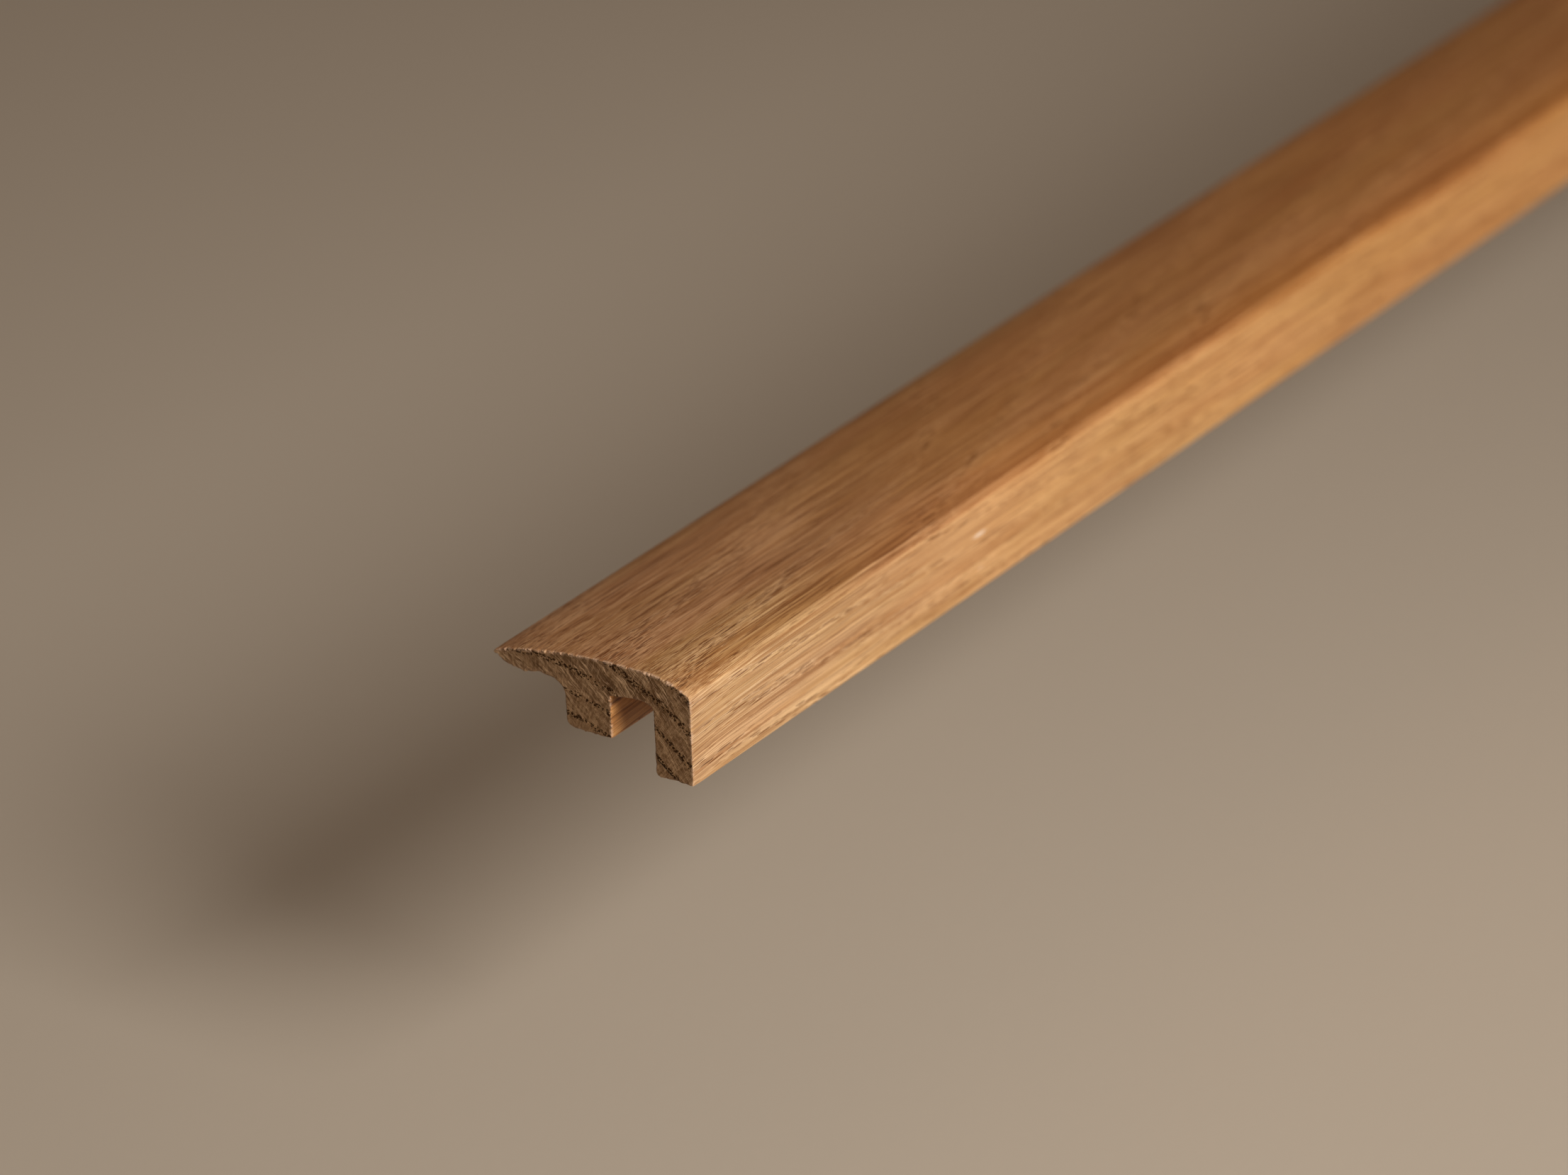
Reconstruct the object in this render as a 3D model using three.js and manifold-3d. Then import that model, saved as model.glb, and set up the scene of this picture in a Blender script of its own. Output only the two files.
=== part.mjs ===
// Solid timber end-profile threshold strip, 900 mm, with its fixing rail, countersunk screws and
// wall plugs.
//
// The moulding is one length of oak. A thin lip on the -X side lies over the edge of the floor
// covering, a deep outer leg on the +X side closes the step down to the subfloor, and a shorter
// middle leg stands between them. The groove between the legs grips the barbed fins of an aluminium
// rail. The rail's flange passes under the middle leg and is screwed to plugs in the subfloor.
//
// Frame: millimetres, +Z up. The origin is on the subfloor, under the centre line of the groove, at
// mid-length. +Y runs along the strip and +X points to the tall outer face.

import * as THREE from "three";
import { mergeVertices } from "three/addons/utils/BufferGeometryUtils.js";
import Module from "manifold-3d";

// ---- driving dimensions (mm) ----
const LENGTH = 900; // moulding, cut for a standard door opening
const WIDTH = 48; // outer face to the lip's tip
const HEIGHT = 22.5; // subfloor to the crown
const OUTER_LEG = 9.0; // outer leg thickness
const MID_LEG = 11.1; // middle leg thickness
const MID_FOOT_Z = 5.5; // underside of the middle leg
const GROOVE_HALF = 5.2; // half the groove's width
const OUTER_X = GROOVE_HALF + OUTER_LEG; // groove centre line to the outer face
const LAND_Z = 14.9; // flat land under the lip that bears on the floor covering

const RAIL_LENGTH = 850; // stops short of both ends, so that it never shows
const FLANGE_T = 2.0;
const FLANGE_LEFT = -19.0; // free edge of the flange, just past the middle leg
const FIN_X = 4.3; // outer face of each fin, under the barbs
const FIN_T = 1.4;
const FIN_TOP = 13.0;
const BARB = 0.6; // how far a barb stands out

const SCREW_X = -10.8; // screw line, under the middle of the middle leg
const SCREW_PITCH = 150;
const SCREWS = 6;

const ROUND = 20; // facets round a turned piece

// ---- materials ----
const material = (color, roughness, metalness) =>
  new THREE.MeshStandardMaterial({ color, roughness, metalness });
const oak = material(0xb98550, 0.5, 0);
const aluminium = material(0xb9bcc0, 0.38, 1);
const zinc = material(0xc4c2ba, 0.3, 1);
const nylon = material(0x9aa0a3, 0.6, 0);

// ---- solids ----
const wasm = await Module();
wasm.setup();

// Strips a geometry to welded positions, as a Manifold solid.
function toSolid(geometry) {
  geometry.deleteAttribute("normal");
  geometry.deleteAttribute("uv");
  const welded = mergeVertices(geometry, 1e-4);
  return new wasm.Manifold(
    new wasm.Mesh({
      numProp: 3,
      vertProperties: new Float32Array(welded.attributes.position.array),
      triVerts: new Uint32Array(welded.index.array),
    }),
  );
}

function toGeometry(solid) {
  const mesh = solid.getMesh();
  const geometry = new THREE.BufferGeometry();
  const positions = new Float32Array(mesh.vertProperties);
  geometry.setAttribute("position", new THREE.BufferAttribute(positions, 3));
  geometry.setIndex(new THREE.BufferAttribute(new Uint32Array(mesh.triVerts), 1));
  geometry.computeVertexNormals();
  return geometry;
}

const toVectors = (pairs) => pairs.map(([x, y]) => new THREE.Vector2(x, y));

// A closed outline of [x, z] pairs, drawn along Y and centred on y = 0.
function drawn(outline, length) {
  const shape = new THREE.Shape(toVectors(outline));
  const geometry = new THREE.ExtrudeGeometry(shape, {
    depth: length,
    bevelEnabled: false,
    steps: 1,
  });
  geometry.translate(0, 0, -length / 2);
  geometry.rotateX(Math.PI / 2);
  return geometry;
}

// A half-profile of [r, z] pairs turned round the Z axis.
function turned(profile) {
  const geometry = new THREE.LatheGeometry(toVectors(profile), ROUND);
  geometry.rotateX(Math.PI / 2); // the lathe turns round Y
  return geometry;
}

// Smooth curve through [x, z] pairs, sampled in equal parameter steps.
function spline(pairs, steps) {
  const curve = new THREE.SplineCurve(toVectors(pairs));
  return curve.getPoints(steps).map((point) => point.toArray());
}

// Arc in the XZ plane, angles in degrees anticlockwise from +X.
function arc(centreX, centreZ, radius, from, to, steps) {
  return Array.from({ length: steps + 1 }, (_, i) => {
    const angle = THREE.MathUtils.degToRad(from + ((to - from) * i) / steps);
    return [centreX + radius * Math.cos(angle), centreZ + radius * Math.sin(angle)];
  });
}

// ---- oak moulding: [x, z] tables, with x measured from the outer face ----
const OUTER_ARRIS = [[0, 18.35], [-0.06, 18.85], [-0.28, 19.34], [-0.66, 19.76], [-1.2, 20.08]];
const CROWN = [
  [-2.25, 20.6], [-3.7, 21.2], [-5.3, 21.72], [-7.2, 22.15], [-9.3, 22.39], [-11.7, 22.48],
  [-14.3, HEIGHT], [-16.9, 22.48], [-21.2, 22.37], [-24.6, 22.18], [-27.5, 21.95],
  [-30.4, 21.66], [-33.2, 21.3], [-36.0, 20.88], [-38.8, 20.38], [-41.4, 19.86],
  [-43.8, 19.3], [-45.8, 18.76], [-47.2, 18.28],
];
const LIP_NOSE = [[-47.76, 18.02], [-WIDTH, 17.68], [-47.76, 17.32], [-47.4, 16.96]];
const LIP_BEVEL = [[-46.7, 16.38], [-45.9, 15.88], [-44.9, 15.4], [-43.9, 15.06]];
const LAND = [[-43.1, LAND_Z], [-40.2, LAND_Z]];
// hollow that keeps the lip off the covering, running down to the middle leg
const LIP_RELIEF = [
  [-38.9, 15.08], [-37.4, 15.36], [-35.9, 15.6], [-34.6, 15.64], [-33.2, 15.36],
  [-32.0, 14.9], [-31.2, 14.3], [-30.75, 13.5], [-30.55, 12.6],
];
const MID_RIGHT = -OUTER_X - GROOVE_HALF;
const MID_LEFT = MID_RIGHT - MID_LEG;
// domed roof, running into the outer leg with a round
const GROOVE_ROOF = [
  [MID_RIGHT + 0.15, 15.06], [-18.2, 15.22], [-16.8, 15.46], [-15.2, 15.7], [-13.6, 15.86],
  [-12.2, 15.88], [-11.0, 15.74], [-10.0, 15.38], [-9.3, 14.9],
];
const FOOT_ARRIS_R = 0.35; // outer face's foot, and groove side of the middle leg
const MID_FOOT_R = 1.6; // lip side of the middle leg
const OUTER_FOOT_R = 1.3; // groove side of the outer leg

function mouldingGeometry() {
  // anticlockwise from the foot of the outer face
  const outline = [
    ...arc(-FOOT_ARRIS_R, FOOT_ARRIS_R, FOOT_ARRIS_R, -90, 0, 3),
    ...spline(OUTER_ARRIS, 7),
    ...spline(CROWN, 38),
    ...spline(LIP_NOSE, 6),
    ...spline(LIP_BEVEL, 5),
    ...LAND,
    ...spline(LIP_RELIEF, 16),
    // middle leg
    [MID_LEFT, 11.6],
    ...arc(MID_LEFT + MID_FOOT_R, MID_FOOT_Z + MID_FOOT_R, MID_FOOT_R, 180, 270, 6),
    ...arc(MID_RIGHT - FOOT_ARRIS_R, MID_FOOT_Z + FOOT_ARRIS_R, FOOT_ARRIS_R, 270, 360, 3),
    // groove and inner face of the outer leg
    [MID_RIGHT, 14.98],
    ...spline(GROOVE_ROOF, 14),
    [-OUTER_LEG, 14.3],
    ...arc(-OUTER_LEG + OUTER_FOOT_R, OUTER_FOOT_R, OUTER_FOOT_R, 180, 270, 5),
  ];
  return drawn(outline.map(([x, z]) => [x + OUTER_X, z]), LENGTH);
}

// ---- fixing rail: one extrusion with a flat flange and two barbed fins ----
const FLANGE_RIGHT = FIN_X + BARB; // clear of the outer leg
const RAIL_CHAMFER = 0.3;
const RELIEF = 0.3; // depth of the relief under the screw line, and run of its sloped ends
const RELIEF_LEFT = FLANGE_LEFT + 3.6;
const RELIEF_RIGHT = -FLANGE_RIGHT;
const TEETH = 4;
const TOOTH_Z = 4.4; // lowest barb tip
const TOOTH_PITCH = 2.0;
const TOOTH_RISE = 1.7; // height of the slope above each tip

const HOLE_R = 1.75;
const SINK_R = 3.37; // countersink at the flange's top
const SINK_Z = 0.4; // bottom of the countersink
const OVERCUT = 2; // cutter's reach beyond the flange
const HOLE_CUTTER = [
  [0, -OVERCUT], [HOLE_R, -OVERCUT], [HOLE_R, SINK_Z], [SINK_R, FLANGE_T + 0.02],
  [SINK_R, FLANGE_T + OVERCUT], [0, FLANGE_T + OVERCUT],
];

// The right-hand fin, from the foot of its outer face over to the foot of its inner face.
function finOutline() {
  const inner = FIN_X - FIN_T;
  // saw-tooth barbs slope up from their tips: the moulding slides on and bites when pulled off
  const teeth = [];
  for (let i = 0; i < TEETH; i++) {
    const tipZ = TOOTH_Z + i * TOOTH_PITCH;
    teeth.push([FIN_X + BARB, tipZ], [FIN_X, tipZ + TOOTH_RISE]);
  }
  return [
    [FIN_X, FLANGE_T],
    [FIN_X, 4.1],
    ...teeth,
    [FIN_X - 0.5, FIN_TOP],
    [inner + RAIL_CHAMFER, FIN_TOP],
    [inner, FIN_TOP - RAIL_CHAMFER],
    [inner, FLANGE_T],
  ];
}

function railGeometry(screwYs) {
  const fin = finOutline();
  const outline = [
    [RELIEF_RIGHT, 0],
    [FLANGE_RIGHT, 0],
    [FLANGE_RIGHT, FLANGE_T - RAIL_CHAMFER],
    [FLANGE_RIGHT - RAIL_CHAMFER, FLANGE_T],
    ...fin,
    ...fin.map(([x, z]) => [-x, z]).reverse(),
    [FLANGE_LEFT + 1.2, FLANGE_T],
    [FLANGE_LEFT, 0.9],
    [FLANGE_LEFT, 0],
    [RELIEF_LEFT, 0],
    [RELIEF_LEFT + RELIEF, RELIEF],
    [RELIEF_RIGHT - RELIEF, RELIEF],
  ];
  let rail = toSolid(drawn(outline, RAIL_LENGTH));
  for (const y of screwYs) {
    rail = rail.subtract(toSolid(turned(HOLE_CUTTER).translate(SCREW_X, y, 0)));
  }
  return toGeometry(rail);
}

// ---- countersunk screw, 3 x 20, cross recess ----
const HEAD_R = 2.85;
const HEAD_TOP = FLANGE_T - 0.05;
const THREAD_R = 1.5;
const TIP_Z = -18;
const SCREW_PROFILE = [
  [0, TIP_Z], [0.45, TIP_Z + 0.9], [THREAD_R - 0.1, TIP_Z + 3.6], [THREAD_R, TIP_Z + 5],
  [THREAD_R, 0.35], [HEAD_R, HEAD_TOP - 0.25], [HEAD_R, HEAD_TOP - 0.05],
  [HEAD_R - 0.1, HEAD_TOP], [0, HEAD_TOP],
];
const RECESS = { topR: 1.5, bottomR: 0.7, depth: 1.3, flatten: 0.26, proud: 0.02 };

// A tapered bar, one of the two that cross to cut the recess.
function recessBar(angle) {
  const bar = new THREE.CylinderGeometry(RECESS.topR, RECESS.bottomR, RECESS.depth, 4, 1);
  bar.rotateY(Math.PI / 4);
  bar.scale(1, 1, RECESS.flatten);
  bar.rotateX(Math.PI / 2);
  bar.rotateZ(angle);
  bar.translate(0, 0, HEAD_TOP - RECESS.depth / 2 + RECESS.proud);
  return bar;
}

function screwGeometry() {
  let screw = toSolid(turned(SCREW_PROFILE));
  for (const angle of [0, Math.PI / 2]) screw = screw.subtract(toSolid(recessBar(angle)));
  return toGeometry(screw);
}

// ---- nylon plug, 5 x 20, ribbed and split so that it can spread ----
const PLUG_R = 2.5;
const BORE_R = 1.75;
const PLUG_TOP = -0.3;
const PLUG_BOTTOM = PLUG_TOP - 20;
const RIBS = 4;
const RIB_PITCH = 2.8;
const RIB_STEP = 0.3; // step out from each waist to the next rib, in radius and in height
const SLIT = { width: 0.8, height: 13, below: 0.5 }; // below: reach past the plug's bottom

function plugGeometry() {
  const ribs = [];
  for (let i = 0; i < RIBS; i++) {
    const waistZ = PLUG_BOTTOM + 3.6 + i * RIB_PITCH;
    ribs.push([PLUG_R - RIB_STEP, waistZ], [PLUG_R, waistZ + RIB_STEP]);
  }
  const profile = [
    [BORE_R, PLUG_TOP],
    [BORE_R, PLUG_BOTTOM + 0.3],
    [BORE_R + 0.25, PLUG_BOTTOM],
    [PLUG_R - 0.4, PLUG_BOTTOM],
    [PLUG_R, PLUG_BOTTOM + 1.2],
    ...ribs,
    [PLUG_R, PLUG_TOP - 0.3],
    [PLUG_R - 0.3, PLUG_TOP],
    [BORE_R, PLUG_TOP],
  ];
  const slit = new THREE.BoxGeometry(2 * PLUG_R + 2, SLIT.width, SLIT.height);
  slit.translate(0, 0, PLUG_BOTTOM + SLIT.height / 2 - SLIT.below);
  return toGeometry(toSolid(turned(profile)).subtract(toSolid(slit)));
}

// ---- assembly: rail, screws and plugs stay on the floor, and the moulding presses over them ----
function piece(name, geometry, finish, x = 0, y = 0) {
  const mesh = new THREE.Mesh(geometry, finish);
  mesh.name = name;
  mesh.position.set(x, y, 0);
  return mesh;
}

const screwYs = Array.from({ length: SCREWS }, (_, i) => (i - (SCREWS - 1) / 2) * SCREW_PITCH);
const screwShape = screwGeometry();
const plugShape = plugGeometry();

const floorFixings = new THREE.Group();
floorFixings.add(piece("fixing_rail", railGeometry(screwYs), aluminium));
screwYs.forEach((y, i) => {
  floorFixings.add(
    piece(`rail_screw_${i + 1}`, screwShape, zinc, SCREW_X, y),
    piece(`wall_plug_${i + 1}`, plugShape, nylon, SCREW_X, y),
  );
});

const strip = new THREE.Group();
strip.add(piece("oak_moulding", mouldingGeometry(), oak), floorFixings);

export default strip;
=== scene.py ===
import math
import random

import bmesh
import bpy
import numpy as np
from mathutils import Matrix, Vector
from mathutils.geometry import delaunay_2d_cdt


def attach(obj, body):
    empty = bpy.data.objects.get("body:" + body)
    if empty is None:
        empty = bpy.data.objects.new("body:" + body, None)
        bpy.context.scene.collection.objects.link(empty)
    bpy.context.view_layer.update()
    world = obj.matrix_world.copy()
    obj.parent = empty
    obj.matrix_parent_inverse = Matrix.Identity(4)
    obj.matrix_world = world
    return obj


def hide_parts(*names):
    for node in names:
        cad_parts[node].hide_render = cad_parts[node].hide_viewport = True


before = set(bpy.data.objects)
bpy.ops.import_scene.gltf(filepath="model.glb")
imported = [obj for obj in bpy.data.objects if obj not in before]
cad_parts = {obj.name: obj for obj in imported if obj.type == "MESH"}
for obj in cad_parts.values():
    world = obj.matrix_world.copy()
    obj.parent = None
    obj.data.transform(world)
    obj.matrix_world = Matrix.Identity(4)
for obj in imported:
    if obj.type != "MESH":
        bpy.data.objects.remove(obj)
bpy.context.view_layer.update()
MM = 0.001
scene = bpy.context.scene


# ------------------------------------------------------------------ node graph helper
class Graph:
    """Writes a shader graph: every value is a number, a tuple or an output socket."""

    def __init__(self, name):
        self.mat = bpy.data.materials.new(name)
        self.mat.use_nodes = True
        self.tree = self.mat.node_tree
        self.tree.nodes.clear()
        self.count = 0

    def add(self, kind, **props):
        n = self.tree.nodes.new(kind)
        self.count += 1
        n.location = (220 * (self.count % 24), -260 * (self.count // 24))
        for k, v in props.items():
            setattr(n, k, v)
        return n

    def put(self, socket, value):
        if value is None:
            return
        if isinstance(value, bpy.types.NodeSocket):
            self.tree.links.new(value, socket)
        elif isinstance(value, (tuple, list)):
            if socket.type == "RGBA" and len(value) == 3:
                value = tuple(value) + (1.0,)
            socket.default_value = value
        else:
            if socket.type == "RGBA":
                value = (value, value, value, 1.0)
            elif socket.type == "VECTOR":
                value = (value, value, value)
            socket.default_value = value

    def m(self, op, a, b=None, c=None, clamp=False):
        n = self.add("ShaderNodeMath", operation=op, use_clamp=clamp)
        self.put(n.inputs[0], a)
        self.put(n.inputs[1], b)
        self.put(n.inputs[2], c)
        return n.outputs[0]

    def plus(self, *v):
        out = v[0]
        for x in v[1:]:
            out = self.m("ADD", out, x)
        return out

    def sub(self, a, b):
        return self.m("SUBTRACT", a, b)

    def mul(self, *v):
        out = v[0]
        for x in v[1:]:
            out = self.m("MULTIPLY", out, x)
        return out

    def step(self, v, lo, hi, a=0.0, b=1.0):
        """Smooth step of v from lo to hi, onto a to b."""
        n = self.add("ShaderNodeMapRange", interpolation_type="SMOOTHSTEP", clamp=True)
        for i, x in enumerate((v, lo, hi, a, b)):
            self.put(n.inputs[i], x)
        return n.outputs[0]

    def lin(self, v, lo, hi, a=0.0, b=1.0):
        n = self.add("ShaderNodeMapRange", clamp=True)
        for i, x in enumerate((v, lo, hi, a, b)):
            self.put(n.inputs[i], x)
        return n.outputs[0]

    def vec(self, x, y, z):
        n = self.add("ShaderNodeCombineXYZ")
        for i, v in enumerate((x, y, z)):
            self.put(n.inputs[i], v)
        return n.outputs[0]

    def xyz(self, v):
        n = self.add("ShaderNodeSeparateXYZ")
        self.put(n.inputs[0], v)
        return n.outputs[0], n.outputs[1], n.outputs[2]

    def scale(self, v, s):
        n = self.add("ShaderNodeVectorMath", operation="MULTIPLY")
        self.put(n.inputs[0], v)
        self.put(n.inputs[1], s)
        return n.outputs[0]

    def noise(self, v, scale=1.0, detail=2.0, rough=0.5, distort=0.0, dims="3D", w=None, color=False, lac=2.0):
        n = self.add("ShaderNodeTexNoise", noise_dimensions=dims)
        if dims != "1D":
            self.put(n.inputs["Vector"], v)
        if w is not None:
            self.put(n.inputs["W"], w)
        for k, x in (("Scale", scale), ("Detail", detail), ("Roughness", rough), ("Distortion", distort), ("Lacunarity", lac)):
            self.put(n.inputs[k], x)
        return n.outputs[1] if color else n.outputs[0]

    def voronoi(self, v, scale=1.0, feature="F1", rand=1.0, dims="3D"):
        n = self.add("ShaderNodeTexVoronoi", feature=feature, voronoi_dimensions=dims)
        self.put(n.inputs["Vector"], v)
        self.put(n.inputs["Scale"], scale)
        self.put(n.inputs["Randomness"], rand)
        return n.outputs["Distance"], (n.outputs["Color"] if feature != "DISTANCE_TO_EDGE" else None)

    def mix(self, fac, a, b, blend="MIX", clamp=True):
        n = self.add("ShaderNodeMix", data_type="RGBA", blend_type=blend, clamp_factor=clamp)
        self.put(n.inputs[0], fac)
        self.put(n.inputs[6], a)
        self.put(n.inputs[7], b)
        return n.outputs[2]

    def blend(self, fac, a, b):
        n = self.add("ShaderNodeMix", data_type="FLOAT", clamp_factor=True)
        self.put(n.inputs[0], fac)
        self.put(n.inputs[2], a)
        self.put(n.inputs[3], b)
        return n.outputs[0]

    def ramp(self, v, stops):
        n = self.add("ShaderNodeValToRGB")
        self.put(n.inputs[0], v)
        e = n.color_ramp.elements
        while len(e) < len(stops):
            e.new(0.5)
        for el, (p, c) in zip(e, stops):
            el.position = p
            el.color = tuple(c) + (1.0,)
        return n.outputs[0]

    def position(self):
        return self.add("ShaderNodeTexCoord").outputs["Object"]

    def bump(self, height, distance, strength=1.0, normal=None):
        n = self.add("ShaderNodeBump")
        self.put(n.inputs["Strength"], strength)
        self.put(n.inputs["Distance"], distance)
        self.put(n.inputs["Height"], height)
        if normal is not None:
            self.put(n.inputs["Normal"], normal)
        return n.outputs[0]

    def principled(self, **values):
        n = self.add("ShaderNodeBsdfPrincipled")
        for k, v in values.items():
            self.put(n.inputs[k.replace("_", " ")], v)
        out = self.add("ShaderNodeOutputMaterial")
        self.tree.links.new(n.outputs[0], out.inputs[0])
        return n


# ------------------------------------------------------------------ oak
# Solid timber: everything is a function of the place inside the log, so rings, vessels and rays run through from the
# end grain to the long faces. Lengths in the graph are millimetres.
PITH_X, PITH_Z = -25.0, -36.8
RING_0, RING_W = 46.0, 5.25


def oak_material():
    g = Graph("oak_satin")
    P = g.scale(g.position(), (1000.0, 1000.0, 1000.0))
    x, y, z = g.xyz(P)
    s = g.plus(y, 450.0)

    # slow wander of the log, growing away from the near end
    wander = g.noise(g.vec(g.mul(x, 0.012), g.mul(y, 0.0042), g.mul(z, 0.012)), 1.0, 1.5, 0.5, color=True)
    wx, wy, wz = g.xyz(wander)
    grow = g.step(s, 0.0, 160.0)
    wx = g.mul(g.sub(wx, 0.5), grow, 13.0)
    wy = g.mul(g.sub(wy, 0.5), grow, 16.0)
    wz = g.mul(g.sub(wz, 0.5), grow, 7.0)
    rise = g.mul(1.4, g.sub(1.0, g.m("POWER", 2.718, g.mul(s, -0.07))))
    u = g.plus(x, g.mul(wx, 0.35))
    v = g.sub(g.plus(z, g.mul(wz, 0.35)), rise)

    # growth rings
    dx = g.plus(x, wx, -PITH_X)
    dz = g.plus(z, wz, -PITH_Z)
    radius = g.m("SQRT", g.plus(g.mul(dx, dx), g.mul(dz, dz)))
    drift = g.plus(g.mul(s, 0.038), g.mul(8.0, g.sub(1.0, g.m("COSINE", g.mul(s, 1 / 140.0)))), wy)
    wobble = g.noise(g.vec(g.mul(x, 0.30), g.mul(y, 0.022), g.mul(z, 0.30)), 1.0, 2.0, 0.55)
    feather = g.noise(g.vec(g.mul(x, 1.1), g.mul(y, 0.09), g.mul(z, 1.1)), 1.0, 2.0, 0.6)
    R = g.plus(radius, drift, g.mul(g.sub(wobble, 0.5), 1.5), g.mul(g.sub(feather, 0.5), 0.7))
    rs = g.m("SINE", g.mul(g.sub(R, RING_0), math.pi / 21.3))
    phase = g.plus(g.mul(g.sub(R, RING_0), 1.0 / RING_W), g.mul(rs, rs, 0.13))
    f = g.m("FRACT", phase)
    ring_id = g.m("FLOOR", phase)
    ring_rand = g.add("ShaderNodeTexWhiteNoise", noise_dimensions="1D")
    g.put(ring_rand.inputs["W"], ring_id)
    rr = ring_rand.outputs["Value"]
    early = g.mul(g.step(f, 0.0, 0.035), g.step(f, g.plus(0.12, g.mul(rr, 0.05)), g.plus(0.24, g.mul(rr, 0.08)), 1.0, 0.0))
    late = g.step(f, 0.35, 0.98)

    geo = g.add("ShaderNodeNewGeometry")
    nx, ny, nz = g.xyz(geo.outputs["True Normal"])
    end_mask = g.step(g.m("ABSOLUTE", ny), 0.55, 0.80)

    # vessels: long thin cells, wide ones packed in the early wood and small ones scattered through the rest
    vd, vc = g.voronoi(g.vec(g.mul(u, 1 / 0.50), g.mul(y, 1 / 9.0), g.mul(v, 1 / 0.50)))
    cr, cg, cb = g.xyz(vc)
    size = g.lin(cg, 0.0, 1.0, g.blend(end_mask, 0.22, 0.46), g.blend(end_mask, 0.37, 0.78))
    big = g.step(vd, g.sub(size, g.blend(end_mask, 0.10, 0.16)), size, 1.0, 0.0)
    big = g.mul(big, g.step(cr, 0.20, 0.24), g.step(early, 0.25, 0.6))
    sd, sc = g.voronoi(g.vec(g.mul(u, 1 / 0.33), g.mul(y, 1 / 5.5), g.mul(g.plus(v, 31.7), 1 / 0.33)))
    sr, sg, sb = g.xyz(sc)
    small = g.step(sd, 0.16, 0.34, 1.0, 0.0)
    # short open vessels that show on the long faces, crowded in the early wood
    open_d, open_c = g.voronoi(g.vec(g.mul(u, 1 / 0.44), g.mul(g.plus(y, 3.3), 1 / 7.5), g.mul(g.plus(v, 11.3), 1 / 0.44)))
    o1, o2, o3 = g.xyz(open_c)
    open_r = g.lin(o2, 0.0, 1.0, 0.22, 0.42)
    crowd = g.mul(g.step(f, 0.0, 0.05), g.step(f, g.plus(0.20, g.mul(rr, 0.06)), g.plus(0.36, g.mul(rr, 0.10)), 1.0, 0.0))
    crowd = g.mul(g.step(crowd, 0.25, 0.7), g.step(o1, 0.14, 0.18))
    dash = g.mul(g.step(open_d, g.sub(open_r, 0.12), open_r, 1.0, 0.0), crowd)
    # painted highlight: a pale ring round each open vessel stands for light catching its edges
    dash_glint = g.mul(g.step(open_d, open_r, g.plus(open_r, 0.16), 1.0, 0.0), crowd)
    fleck_d, fleck_c = g.voronoi(g.vec(g.mul(u, 1 / 0.95), g.mul(y, 1 / 10.0), g.mul(g.plus(v, 5.9), 1 / 0.95)))
    k1, k2, k3 = g.xyz(fleck_c)
    fleck = g.mul(g.step(fleck_d, 0.12, g.lin(k2, 0.0, 1.0, 0.26, 0.42), 1.0, 0.0), g.step(k1, 0.45, 0.50))
    patchy = g.noise(g.vec(g.mul(u, 0.55), g.mul(y, 0.03), g.mul(v, 0.55)), 1.0, 2.0, 0.5)
    thin_out = g.lin(patchy, 0.35, 0.65, 0.90, 0.60)
    thin_out = g.blend(early, thin_out, 0.12)
    small = g.mul(small, g.m("GREATER_THAN", sr, thin_out))

    # rays: thin plates across the rings
    angle = g.m("ARCTAN2", dz, dx)
    arc = g.mul(angle, 58.0)
    rd, rc = g.voronoi(g.vec(g.mul(arc, 1 / 0.42), g.mul(y, 1 / 16.0), g.mul(radius, 1 / 15.0)))
    r1, r2, r3 = g.xyz(rc)
    ray = g.mul(g.step(rd, 0.16, 0.32, 1.0, 0.0), g.step(r1, 0.76, 0.79))
    fine_ray = g.noise(g.vec(g.mul(arc, 2.3), g.mul(y, 0.3), g.mul(radius, 0.16)), 1.0, 2.5, 0.62)

    # fibre streaks, coarse to fine
    streak = g.noise(g.vec(g.mul(u, 0.62), g.mul(y, 0.0085), g.mul(v, 0.62)), 1.0, 3.0, 0.60)
    thread = g.noise(g.vec(g.mul(u, 2.3), g.mul(y, 0.011), g.mul(v, 2.3)), 1.0, 3.0, 0.62)
    hair = g.noise(g.vec(g.mul(u, 6.0), g.mul(y, 0.030), g.mul(v, 6.0)), 1.0, 3.0, 0.6)
    busy = g.noise(g.vec(g.mul(u, 0.30), g.mul(y, 0.018), g.mul(v, 0.30)), 1.0, 2.0, 0.5)
    busy = g.lin(busy, 0.36, 0.62, 0.35, 1.0)
    strand = g.noise(g.vec(g.mul(g.plus(u, 7.7), 1.25), g.mul(y, 0.0055), g.mul(v, 1.25)), 1.0, 2.0, 0.55)
    contour = g.noise(g.vec(g.mul(u, 1.25), g.mul(y, 0.013), g.mul(v, 1.25)), 1.0, 1.5, 0.5)
    breaks = g.noise(g.vec(g.mul(u, 1.1), g.mul(y, 0.07), g.mul(v, 1.1)), 1.0, 2.0, 0.5)
    line = g.mul(g.step(g.m("ABSOLUTE", g.sub(contour, 0.5)), 0.006, 0.030, 1.0, 0.0), g.step(breaks, 0.46, 0.58))
    furrow_n = g.noise(g.vec(g.mul(g.plus(u, 13.0), 1.9), g.mul(y, 0.010), g.mul(v, 1.9)), 1.0, 1.0, 0.5)
    furrow_b = g.noise(g.vec(g.mul(u, 1.3), g.mul(y, 0.040), g.mul(g.plus(v, 9.0), 1.3)), 1.0, 2.0, 0.5)
    furrow = g.mul(g.step(g.m("ABSOLUTE", g.sub(furrow_n, 0.5)), 0.014, 0.048, 1.0, 0.0), g.step(furrow_b, 0.40, 0.52), g.step(s, 150.0, 50.0, 0.35, 1.0))
    tone = g.noise(g.vec(g.mul(x, 0.05), g.mul(y, 0.011), g.mul(z, 0.05)), 1.0, 3.0, 0.55)
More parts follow.
